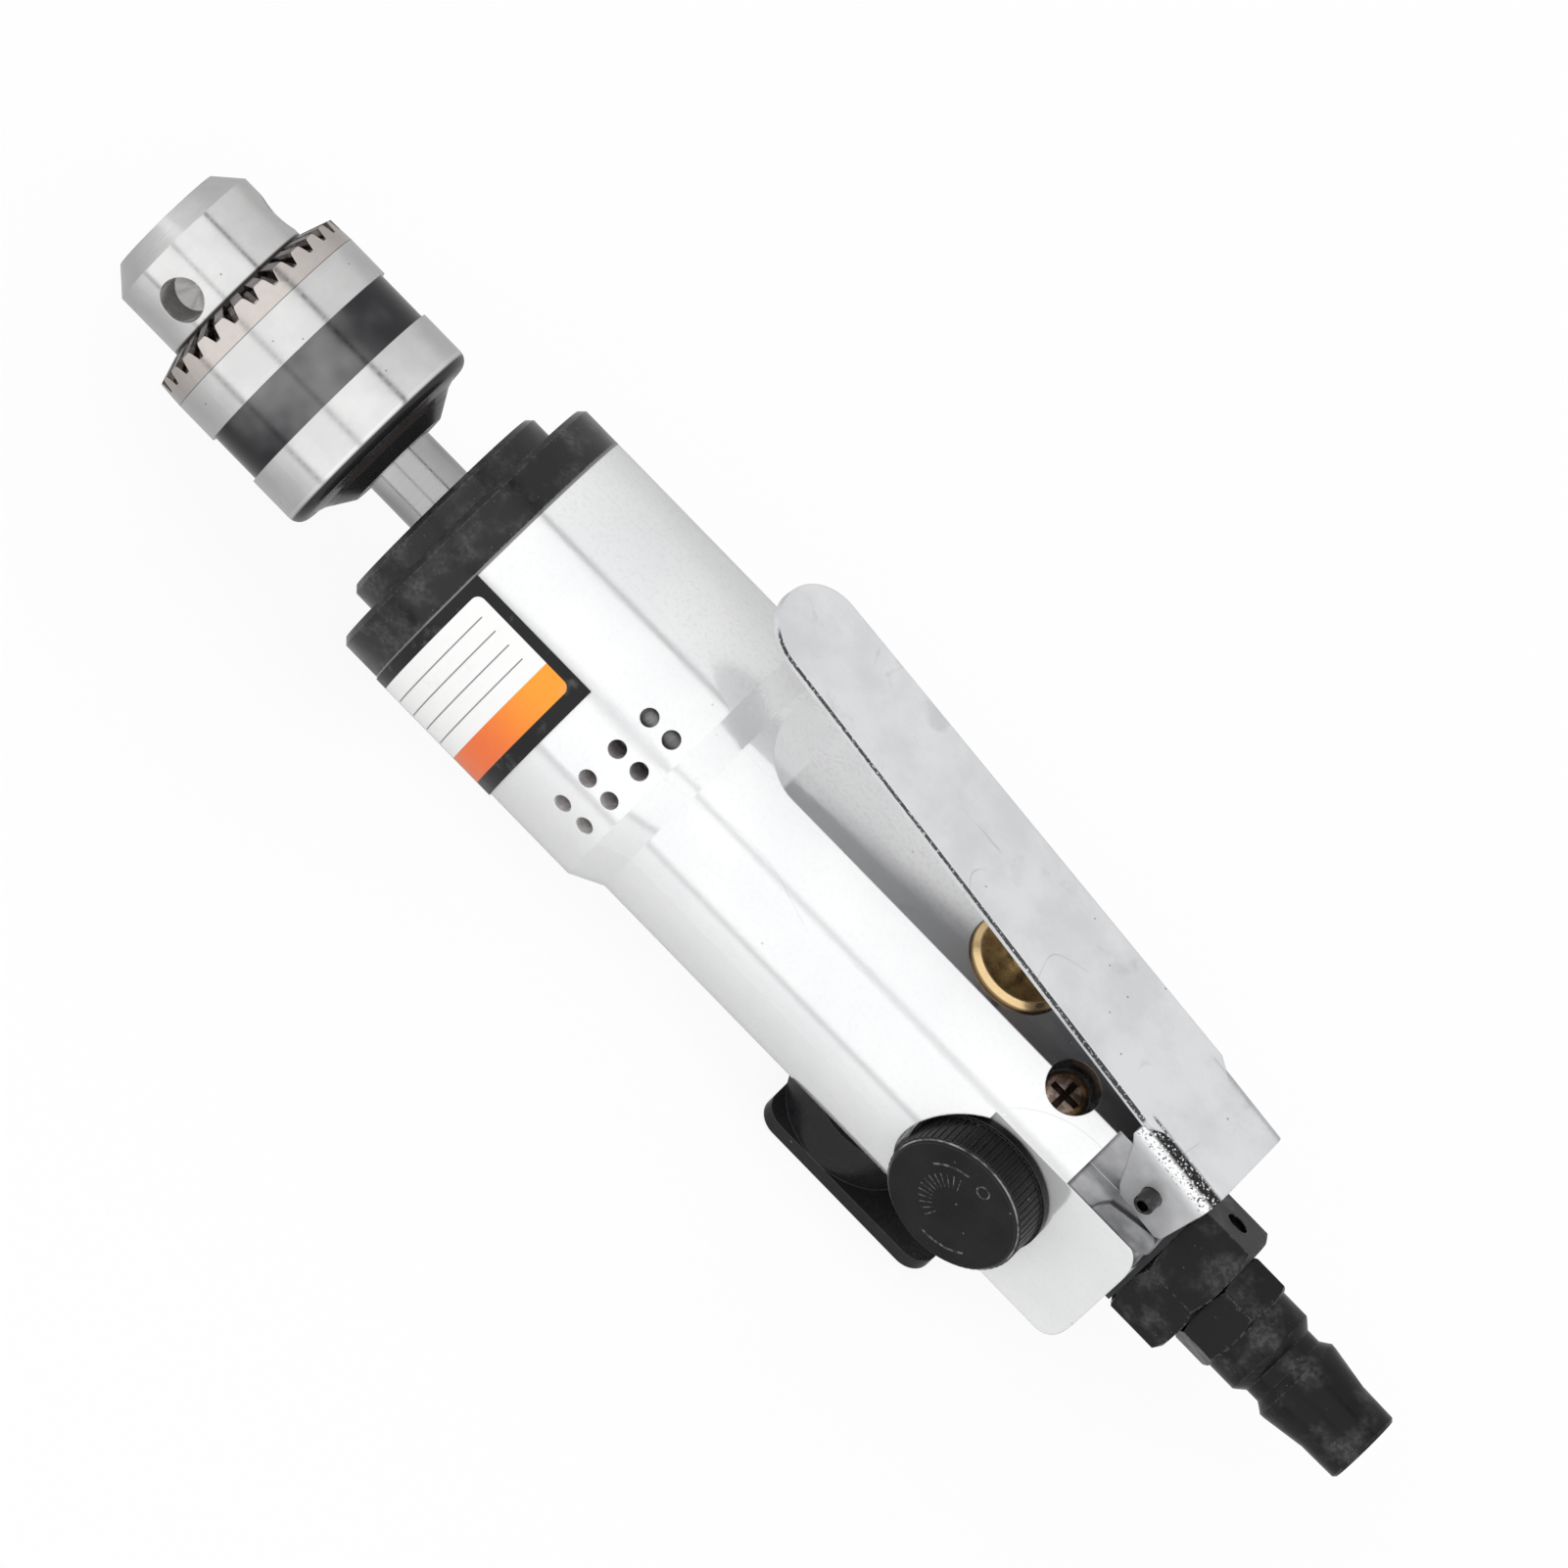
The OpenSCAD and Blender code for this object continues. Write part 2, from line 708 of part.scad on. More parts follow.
// One planet gear, in mesh with the pinion and the ring gear
module planet_gear(k) {
    color("goldenrod")
        rotate([k * 120, 0, 0])
            translate([0, planet_orbit, 0])
                difference() {
                    gear_x(planet_teeth, gear_x0, gear_x0 + gear_w, 180 + 180 / planet_teeth);
                    along_x(planet_pin_r + run_fit, gear_x0 - 1, gear_x0 + gear_w + 1);
                }
}

// Place for something that slopes along a jaw, origin at the jaw's tip end on the nose plane
module jaw_line(k) {
    rotate([k * 120 + jaw_turn, 0, 0])
        translate([tip_x, jaw_front_rho, 0])
            rotate([0, 0, -jaw_slope])
                children();
}

// Turned body of the chuck with its jaw holes, key holes and the hole for the bit
module chuck_body() {
    lip = 0.5;
    color("silver")
        difference() {
            turned([[tail_x, 0], [tail_x, tail_r], [sleeve_x - lip, nose_r], [sleeve_x, chuck_body_r],
                [jaw_nut_x, chuck_body_r], [jaw_nut_x, nut_groove_r], [jaw_nut_x + jaw_nut_w, nut_groove_r],
                [jaw_nut_x + jaw_nut_w, nose_r - 0.05], [nose_x, nose_r], [tip_x - nose_chamfer, nose_r],
                [tip_x, nose_face_r], [tip_x, 0]]);
            along_x(bit_hole_r, tip_x - chuck_bore_l, tip_x + 1);
            along_x(bit_mouth_r, tip_x - bit_mouth_l, tip_x + 1);
            along_x(spindle_r, tail_x - 1, sleeve_x + chuck_thread_l);
            along_x(screw_seat_r, screw_seat_x, tip_x - chuck_bore_l + 1);
            along_x(screw_thread_r, sleeve_x, screw_seat_x + 1);
            for (k = [0 : 2]) {
                jaw_line(k)
                    translate([-jaw_hole_l, 0, 0])
                        rotate([0, 90, 0])
                            cylinder(r = jaw_r + run_fit, h = jaw_hole_l + 4);
                rotate([k * 120 + jaw_turn + 60, 0, 0])
                    translate([tip_x - key_hole_back, key_hole_floor_r, 0])
                        rotate([-90, 0, 0]) {
                            cylinder(r = key_hole_r, h = nose_r);
                            translate([0, 0, -key_hole_r / 2])
                                cylinder(r1 = 0, r2 = key_hole_r, h = key_hole_r / 2 + eps);
                        }
            }
        }
}

// Left-hand screw that locks the chuck on the spindle
module chuck_screw() {
    head_x = screw_seat_x;
    color("dimgray")
        difference() {
            union() {
                along_x(screw_thread_r, sleeve_x + chuck_thread_l - screw_l, head_x + eps);
                along_x(screw_head_r, head_x, head_x + screw_head_l);
            }
            hex_x(screw_key_af, head_x + screw_head_l / 2, head_x + screw_head_l + 1, 0);
        }
}

// Section of the gap between two bevel teeth, from its floor outwards
module tooth_gap_outline() {
    flank = [[0, tooth_floor * 0.8], [tooth_floor / 3, tooth_floor], [tooth_depth * 0.65, tooth_floor * 1.9],
        [tooth_depth * 0.84, tooth_floor * 2.6], [tooth_depth * 0.95, tooth_floor * 3.5],
        [tooth_depth * 3, tooth_floor * 3.5]];
    polygon(concat(flank, [for (i = [len(flank) - 1 : -1 : 0]) [flank[i][0], -flank[i][1]]]));
}

// Outside of the chuck's sleeve with a round rear edge, before its bore and teeth are cut
module sleeve_blank() {
    edge_r = sleeve_r - sleeve_round_r;
    edge_x = sleeve_x + sleeve_round_r;
    band_x0 = nose_x - band_front;
    band_x1 = band_x0 - band_l;
    rotate([90, 0, 90])
        rotate_extrude() {
            polygon([[0, sleeve_x], [edge_r, sleeve_x], [edge_r, edge_x], [sleeve_r, edge_x],
                [sleeve_r, band_x1], [sleeve_r - band_depth, band_x1],
                [sleeve_r - band_depth, band_x0], [sleeve_r, band_x0],
                [sleeve_r, nose_x - tooth_ring_l], [tooth_top_r, nose_x - tooth_bevel_l],
                [tooth_front_r, nose_x], [0, nose_x]]);
            translate([edge_r, edge_x])
                circle(r = sleeve_round_r);
        }
}

// Sleeve with bevel teeth for the key
module chuck_sleeve() {
    nut_room_x = jaw_nut_x + jaw_nut_w + face_gap;
    color("gray")
        difference() {
            sleeve_blank();
            along_x(chuck_body_r + run_fit, sleeve_x - 1, nut_room_x);
            along_x(nose_r + run_fit, nut_room_x - eps, nose_x + 1);
            for (i = [0 : sleeve_teeth - 1])
                rotate([tooth_turn + i * 360 / sleeve_teeth, 0, 0])
                    translate([nose_x - tooth_bevel_l - tooth_depth, sleeve_r, 0])
                        rotate([90, 0, tooth_slope])
                            translate([0, 0, -sleeve_r / 4])
                                linear_extrude(sleeve_r / 4 + tooth_groove_l)
                                    tooth_gap_outline();
        }
}

// Threaded ring inside the sleeve that drives the jaws
module jaw_nut() {
    x0 = jaw_nut_x - 1;
    x1 = jaw_nut_x + jaw_nut_w + 1;
    color("darkgray")
        difference() {
            along_x(chuck_body_r + run_fit, jaw_nut_x + run_fit, jaw_nut_x + jaw_nut_w - run_fit);
            cone_x(jaw_nut_rho(x0), jaw_nut_rho(x1), x0, x1);
        }
}

// One jaw, drawn back so that the hole for the bit is free; its inner end is a wedge of 120 degrees
module jaw(k) {
    wedge_rho = jaw_travel * sin(jaw_slope) + 0.15;
    color("gray")
        intersection() {
            jaw_line(k)
                translate([-jaw_back - jaw_l, 0, 0])
                    rotate([0, 90, 0])
                        cylinder(r = jaw_r, h = jaw_l);
            along_x(nose_r, tail_x, tip_x);
            rotate([k * 120 + jaw_turn, 0, 0])
                translate([tail_x, 0, 0])
                    rotate([90, 0, 90])
                        linear_extrude(tip_x - tail_x)
                            polygon([[wedge_rho, 0], [nose_r, (nose_r - wedge_rho) * tan(60)],
                                [nose_r, -(nose_r - wedge_rho) * tan(60)]]);
        }
}

// Hexagonal bushing that closes the air inlet
module inlet_bushing() {
    color("dimgray")
        difference() {
            union() {
                turned_hex(inlet_af, plug_l, inlet_x, inlet_turn);
                along_x(inlet_thread_r, inlet_x - eps, rear_x + inlet_thread_l);
            }
            along_x(plug_thread_r, plug_l - 1, plug_l + plug_thread_l);
            along_x(inlet_way_r, plug_l, rear_x + inlet_thread_l + 1);
            along_x(screen_r, rear_x + inlet_thread_l - screen_t, rear_x + inlet_thread_l + 1);
            rotate([oil_angle, 0, 0])
                translate([oil_x, 0, 0])
                    rotate([-90, 0, 0])
                        cylinder(r = oil_hole_r, h = inlet_af);
        }
}

module inlet_washer() {
    color("black")
        ring_x(inlet_af / 2 + 0.9, inlet_thread_r, inlet_x, rear_x);
}

// Perforated screen at the end of the inlet bushing
module inlet_screen() {
    hole = 0.45;
    pitch = 1.7;
    x0 = rear_x + inlet_thread_l - screen_t;
    color("silver")
        difference() {
            along_x(screen_r, x0, x0 + screen_t);
            for (i = [-2 : 2], j = [-2 : 2])
                if (norm([i, j]) * pitch < screen_r - 1)
                    translate([0, i * pitch, j * pitch])
                        along_x(hole, x0 - 1, x0 + screen_t + 1);
        }
}

// Quick-change plug for the air hose
module air_plug() {
    x1 = plug_nose_l;
    x2 = x1 + plug_groove_l;
    x3 = x2 + plug_cyl_l;
    ramp = plug_groove_l / 4;
    waist_x = plug_nose_l * plug_waist_share;
    waist_r = plug_tip_r + 0.1;
    color("dimgray")
        difference() {
            union() {
                turned([[0, 0], [0, plug_tip_r - plug_edge], [plug_edge, plug_tip_r], [waist_x, waist_r],
                    [x1 - 3 * plug_edge, plug_r - 0.25], [x1 - plug_edge, plug_r - 0.2], [x1, plug_r - 0.5],
                    [x1 + ramp, plug_groove_r], [x2 - ramp, plug_groove_r], [x2, plug_r - 0.3],
                    [x2 + plug_edge, plug_r], [x3 + eps, plug_r], [x3 + eps, 0]]);
                turned_hex(plug_af, x3, plug_l, plug_turn);
                along_x(plug_thread_r, plug_l - eps, plug_l + plug_thread_l);
            }
            along_x(plug_bore_r, -1, plug_l + plug_thread_l + 1);
        }
}

// Screw that closes the oil hole of the inlet bushing
module oil_screw() {
    color("black")
        rotate([oil_angle, 0, 0])
            translate([oil_x, 0, 0])
                rotate([-90, 0, 0])
                    translate([0, 0, plug_thread_r])
                        difference() {
                            cylinder(r = oil_hole_r, h = inlet_af / 2 - plug_thread_r - oil_screw_sunk);
                            translate([0, 0, oil_screw_sunk])
                                cylinder(r = oil_key_r, h = inlet_af, $fn = 6);
                        }
}

// Sheet of the lever seen from above, from the ears to the round tip
module lever_plan() {
    tip_c = lever_run - lever_tip_r;
    w = ear_y - lever_neck;
    translate([tip_c, 0])
        circle(r = lever_tip_r);
    top_w = ear_y - bend_r;
    back = ear_front - lever_taper;
    polygon([[back, -top_w], [ear_front - lever_neck, -w], [tip_c, -lever_tip_r], [tip_c, lever_tip_r],
        [ear_front - lever_neck, w], [back, top_w]]);
}

// Section of the bent sheet with an ear on each side
module lever_section(out_y, out_z, r) {
    union() {
        translate([-out_y + r, 0])
            square([2 * (out_y - r), out_z]);
        translate([-out_y, -ear_section_l])
            square([2 * out_y, out_z - r + ear_section_l]);
        for (s = [-1, 1])
            translate([s * (out_y - r), out_z - r])
                circle(r = r);
    }
}

module throttle_lever() {
    color("lightgray")
        translate([pin_axis_x, 0, lever_pin_z])
            rotate([0, -lever_tilt, 0])
                difference() {
                    union() {
                        translate([0, 0, lever_low])
                            linear_extrude(lever_t)
                                lever_plan();
                        intersection() {
                            translate([-lever_back, 0, 0])
                                rotate([90, 0, 90])
                                    linear_extrude(lever_back + ear_front)
                                        difference() {
                                            lever_section(ear_y, lever_top_h, bend_r);
                                            lever_section(ear_inner_y, lever_low, bend_r - lever_t);
                                        }
                            rotate([90, 0, 0])
                                linear_extrude(2 * ear_y + 2, center = true)
                                    polygon([[-lever_back, lever_top_h + 1], [ear_front, lever_top_h + 1],
                                        [ear_front, lever_low - bend_r / 2],
                                        [ear_front - ear_step, lever_low - bend_r],
                                        [ear_foot_x + ear_step, -ear_drop + ear_step],
                                        [ear_foot_x, -ear_drop],
                                        [-lever_back + ear_corner, -ear_drop],
                                        [-lever_back, -ear_drop + ear_corner]]);
                        }
                    }
                    rotate([90, 0, 0])
                        cylinder(r = lever_pin_r + run_fit, h = 4 * ear_y, center = true);
                }
}

module lever_pin() {
    chamfer = 0.3;
    half = ear_y + lever_pin_out;
    color("black")
        translate([pin_axis_x, 0, lever_pin_z])
            rotate([90, 0, 0])
                rotate_extrude()
                    polygon([[0, -half + pin_hollow_l], [pin_hollow_r, -half + pin_hollow_l],
                        [pin_hollow_r, -half],
                        [lever_pin_r - chamfer, -half], [lever_pin_r, -half + chamfer],
                        [lever_pin_r, half - chamfer], [lever_pin_r - chamfer, half], [pin_hollow_r, half],
                        [pin_hollow_r, half - pin_hollow_l], [0, half - pin_hollow_l]]);
}

// Brass cap in the top flat that guides the valve stem
module valve_bushing() {
    edge = 0.9;
    color("peru")
        translate([valve_axis_x, 0, top_flat_z])
            rotate_extrude()
                polygon([[stem_r + run_fit, bushing_h], [bushing_r - edge, bushing_h],
                    [bushing_r, bushing_h - edge], [bushing_r, -bushing_flange_t],
                    [valve_bore_r, -bushing_flange_t], [valve_bore_r, -bushing_l],
                    [stem_r + run_fit, -bushing_l]]);
}

// Steel stem with the head that closes the air way
module valve_stem() {
    color("silver")
        translate([valve_axis_x, 0, 0])
            rotate_extrude()
                polygon([[0, head_low_z], [head_r, head_low_z], [head_r, head_top_z], [stem_r, head_top_z],
                    [stem_r, stem_top_z - stem_dome], [stem_r - stem_dome, stem_top_z], [0, stem_top_z]]);
}

// Rubber ring on the head of the stem
module valve_seal() {
    color("black")
        translate([valve_axis_x, 0, head_top_z + seal_r])
            rotate_extrude()
                translate([stem_r + seal_r, 0])
                    circle(r = seal_r, $fn = 24);
}

// Coil of the valve spring: ring of points number i of a helical tube
function spring_centre(t) = [spring_r * cos(t), spring_r * sin(t), spring_low_z + spring_wire / 2
    + (spring_high_z - spring_low_z - spring_wire) * t / (360 * spring_curls)];
function spring_point(t, a) = spring_centre(t)
    + spring_wire / 2 * [cos(a) * cos(t), cos(a) * sin(t), sin(a)];

// Least gap between one curl and the next, measured on points of the coil's middle line
function spring_self_gap() = min([for (t = [0 : 30 : 360]) for (d = [-60 : 10 : 60])
    norm(spring_centre(t + 360 + d) - spring_centre(t))]) - spring_wire;

echo(spring_self_gap = spring_self_gap());

module valve_spring() {
    sides = 6;
    per_curl = 8;
    rings = spring_curls * per_curl;
    color("silver")
        translate([valve_axis_x, 0, 0])
            polyhedron(
                points = [for (i = [0 : rings]) for (j = [0 : sides - 1])
                    spring_point(i * 360 / per_curl, j * 360 / sides)],
                faces = concat(
                    [[for (j = [0 : sides - 1]) j]],
                    [for (i = [0 : rings - 1]) for (j = [0 : sides - 1]) for (h = [0, 1])
                        spring_face(i * sides, j, (j + 1) % sides, sides, h)],
                    [[for (j = [sides - 1 : -1 : 0]) rings * sides + j]]));
}

function spring_face(base, j, k, sides, h) = h == 0
    ? [base + j, base + sides + j, base + sides + k]
    : [base + j, base + sides + k, base + k];

// Fixed sleeve that the reverse valve turns in
module reverse_sleeve() {
    color("peru")
        translate([valve_axis_x, 0, reverse_seat_z])
            difference() {
                cylinder(r = reverse_bore_r, h = reverse_roof_z - reverse_seat_z);
                translate([0, 0, -1])
                    cylinder(r = reverse_core_r + run_fit, h = reverse_roof_z - reverse_seat_z + 2);
                for (side = [-1, 1])
                    translate([0, side * air_way_y, air_way_z - reverse_seat_z])
                        rotate([0, 90, 0])
                            cylinder(r = air_way_r / 2, h = 2 * reverse_bore_r);
            }
}

// Turning core that sends the air round the rotor one way or the other
module reverse_valve() {
    color("silver")
        translate([valve_axis_x, 0, 0])
            difference() {
                translate([0, 0, reverse_hub_top_z])
                    cylinder(r = reverse_core_r, h = reverse_roof_z - face_gap - reverse_hub_top_z);
                translate([0, 0, air_way_z])
                    rotate([0, 90, 0])
                        cylinder(r = air_way_r, h = 2 * reverse_bore_r);
                translate([0, 0, air_way_z])
                    cylinder(r = air_way_r, h = reverse_bore_r);
                translate([0, 0, reverse_hub_top_z - 1])
                    cylinder(r = reverse_screw_r, h = reverse_screw_l + 1);
            }
}

module reverse_plate_outline() {
    r = 3.4;
    x0 = -reverse_plate_rear;
    x1 = reverse_plate_front;
    union() {
        translate([x0 + r, -reverse_plate_w])
            square([x1 - x0 - 2 * r, 2 * reverse_plate_w]);
        translate([x0, -reverse_plate_w + r])
            square([x1 - x0, 2 * (reverse_plate_w - r)]);
        for (x = [x0 + r, x1 - r], y = [-reverse_plate_w + r, reverse_plate_w - r])
            translate([x, y])
                circle(r = r);
    }
}

// Black plate under the handle with the hub that turns the core
module reverse_lever() {
    low_z = -reverse_plate_z - reverse_plate_t;
    color("dimgray")
        translate([valve_axis_x, 0, 0])
            difference() {
                union() {
                    translate([0, 0, -reverse_plate_z])
                        cylinder(r = reverse_hub_r, h = reverse_plate_z + reverse_hub_top_z);
                    translate([0, 0, low_z])
                        linear_extrude(reverse_plate_t)
                            reverse_plate_outline();
                }
                translate([0, 0, low_z - 1])
                    cylinder(r = reverse_screw_r, h = reverse_plate_z);
                translate([0, 0, low_z - 1])
                    cylinder(r = reverse_screw_head_r, h = reverse_screw_head_l + 1);
            }
}

// Screw that holds the reverse lever on its core
module reverse_screw() {
    low_z = -reverse_plate_z - reverse_plate_t;
    color("silver")
        translate([valve_axis_x, 0, low_z])
            difference() {
                union() {
                    cylinder(r = reverse_screw_head_r, h = reverse_screw_head_l);
                    cylinder(r = reverse_screw_r, h = reverse_hub_top_z + reverse_screw_l - low_z);
                }
                cross_slot(reverse_screw_head_r, 1.1);
            }
}

// Cross recess cut into a screw head from z = 0 upwards
module cross_slot(r, depth) {
    for (a = [0, 90])
        rotate([0, 0, a])
            translate([-r * 0.65, -r * 0.13, -1])
                cube([r * 1.3, r * 0.26, depth + 1]);
}

module at_regulator(y) {
    translate([regulator_axis_x, y, regulator_z])
        rotate([-90, 0, 0])
            children();
}

// Knurled knob that sets the speed
module regulator_knob() {
    edge = knob_rim_r - knob_face_r;
    rim_l = knob_t - knob_skirt_t;
    color("dimgray")
        at_regulator(knob_seat_y)
            difference() {
                union() {
                    cylinder(r = knob_r, h = knob_skirt_t);
                    translate([0, 0, knob_skirt_t - eps])
                        cylinder(r = knob_rim_r, h = rim_l - edge + eps);
                    translate([0, 0, knob_t - edge - eps])
                        cylinder(r1 = knob_rim_r, r2 = knob_face_r, h = edge + eps);
                }
                translate([0, 0, -1])
                    cylinder(r = knob_socket_r, h = knob_t - knob_cap_t + 1);
                for (i = [0 : knob_grooves - 1])
                    rotate([0, 0, i * 360 / knob_grooves])
                        translate([knob_rim_r + 0.12, 0, knob_skirt_t])
                            cylinder(r = knob_groove_r, h = knob_t, $fn = 4);
            }
}

// Stem that throttles the air with its cross hole
module regulator_stem() {
    color("peru")
        at_regulator(-regulator_stem_in)
            difference() {
                union() {
                    cylinder(r = regulator_stem_r, h = regulator_stem_in + side_flat_y + face_gap);
                    translate([0, 0, regulator_stem_in + side_flat_y])
                        cylinder(r = knob_socket_r, h = knob_t - knob_cap_t + face_gap);
                }
                translate([0, 0, regulator_stem_in])
                    rotate([0, 90, 0])
                        cylinder(r = air_way_r, h = 4 * regulator_stem_r, center = true);
                translate([0, 0, regulator_stem_in + keeper_groove_y])
                    difference() {
                        cylinder(r = regulator_stem_r + 1, h = keeper_groove_w, center = true);
                        cylinder(r = keeper_groove_r, h = keeper_groove_w + 1, center = true);
                    }
                translate([0, 0, regulator_stem_in + seal_y])
                    rotate_extrude()
                        translate([regulator_stem_r, 0])
                            circle(r = seal_r, $fn = 24);
            }
}

module regulator_seal() {
    color("black")
        at_regulator(seal_y)
            intersection() {
                rotate_extrude()
                    translate([regulator_stem_r, 0])
                        circle(r = seal_r - seal_squeeze, $fn = 24);
                cylinder(r = regulator_stem_r + run_fit / 2, h = 4 * seal_r, center = true);
            }
}

// Cross-head screw whose tip holds the regulator's stem
module keeper_screw() {
    head_l = 1.6;
    color("peru")
        translate([regulator_axis_x, 0, 0])
            rotate([keeper_angle - 90, 0, 0])
                difference() {
                    union() {
                        translate([0, 0, keeper_seat_r])
                            cylinder(r = keeper_head_r, h = head_l);
                        translate([0, 0, keeper_tip_r])
                            cylinder(r = keeper_thread_r, h = keeper_seat_r - keeper_tip_r + eps);
                    }
                    translate([0, 0, keeper_seat_r + head_l])
                        mirror([0, 0, 1])
                            cross_slot(keeper_head_r, 1);
                }
}

// Thin blank plate stuck on the barrel
module rating_plate() {
    rotate([-plate_angle / 2 - 1, 0, 0])
        color("white")
            rotate([90, 0, 90])
                translate([0, 0, front_x - plate_l - 0.3])
                    rotate_extrude(angle = plate_angle)
                        translate([barrel_r, 0])
                            square([plate_t, plate_l]);
}

housing();
clamp_nut();
spindle_bearing();
ring_gear();
motor_cylinder();
front_end_plate();
rear_end_plate();
rotor_bearing_front();
rotor_bearing_rear();
rotor();
vane(0);  // vane_1
vane(1);  // vane_2
vane(2);  // vane_3
vane(3);  // vane_4
vane(4);  // vane_5
spindle();
planet_pins();
planet_gear(0);  // planet_gear_1
planet_gear(1);  // planet_gear_2
planet_gear(2);  // planet_gear_3
chuck_body();
chuck_screw();
chuck_sleeve();
jaw_nut();
jaw(0);  // jaw_1
jaw(1);  // jaw_2
jaw(2);  // jaw_3
inlet_bushing();
inlet_washer();
inlet_screen();
air_plug();
oil_screw();
throttle_lever();
lever_pin();
valve_bushing();
valve_stem();
valve_seal();
valve_spring();
reverse_sleeve();
reverse_valve();
reverse_lever();
reverse_screw();
regulator_knob();
regulator_stem();
regulator_seal();
keeper_screw();
rating_plate();
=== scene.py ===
import bpy
import math
from mathutils import Matrix, Vector


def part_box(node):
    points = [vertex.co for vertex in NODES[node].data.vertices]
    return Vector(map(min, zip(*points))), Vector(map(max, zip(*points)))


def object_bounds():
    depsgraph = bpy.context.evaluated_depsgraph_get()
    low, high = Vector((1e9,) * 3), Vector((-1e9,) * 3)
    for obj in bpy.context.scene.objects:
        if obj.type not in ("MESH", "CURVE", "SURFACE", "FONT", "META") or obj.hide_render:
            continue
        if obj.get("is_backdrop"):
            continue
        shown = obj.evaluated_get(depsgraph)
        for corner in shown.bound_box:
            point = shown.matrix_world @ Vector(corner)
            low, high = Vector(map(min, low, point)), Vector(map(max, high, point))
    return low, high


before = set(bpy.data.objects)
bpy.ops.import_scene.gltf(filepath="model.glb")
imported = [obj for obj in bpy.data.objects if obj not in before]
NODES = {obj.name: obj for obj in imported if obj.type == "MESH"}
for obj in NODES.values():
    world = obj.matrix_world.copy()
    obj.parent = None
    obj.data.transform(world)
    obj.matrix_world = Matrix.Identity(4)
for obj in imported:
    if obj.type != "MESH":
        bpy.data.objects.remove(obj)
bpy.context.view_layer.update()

# Lengths are in metres. In the CAD's frame x runs from the air plug to the chuck's nose,
# y points to the knob's side and z to the throttle lever.

# The keeper screw: where its axis crosses the tool's axis, and its lean from +Y towards +Z
KEEPER_X = 0.0617
KEEPER_LEAN = math.radians(66)

# Usual range of the values of a noise texture
NOISE_LOW = 0.3
NOISE_HIGH = 0.7

# Half width of the soft edge of a painted area
SOFT = 0.00004

BEVEL_SAMPLES = 4

# Brightness of the studio round the tool's axis: (degrees from +Y towards +Z, level)
STUDIO_LEVELS = [(-180, 0.54), (-150, 0.50), (-113, 0.5), (-80, 0.5), (-58, 0.6), (-40, 0.74), (-30, 0.84),
                 (-25, 0.36), (-20, 1.06), (28, 1.08), (32, 0.5), (36, 1.08), (75, 1.06), (89, 1.0),
                 (93, 0.05), (97, 0.86), (126, 0.77), (156, 0.68), (172, 0.56)]


def grey(level):
    return (level, level, level)


# Small helpers that build a material from nodes

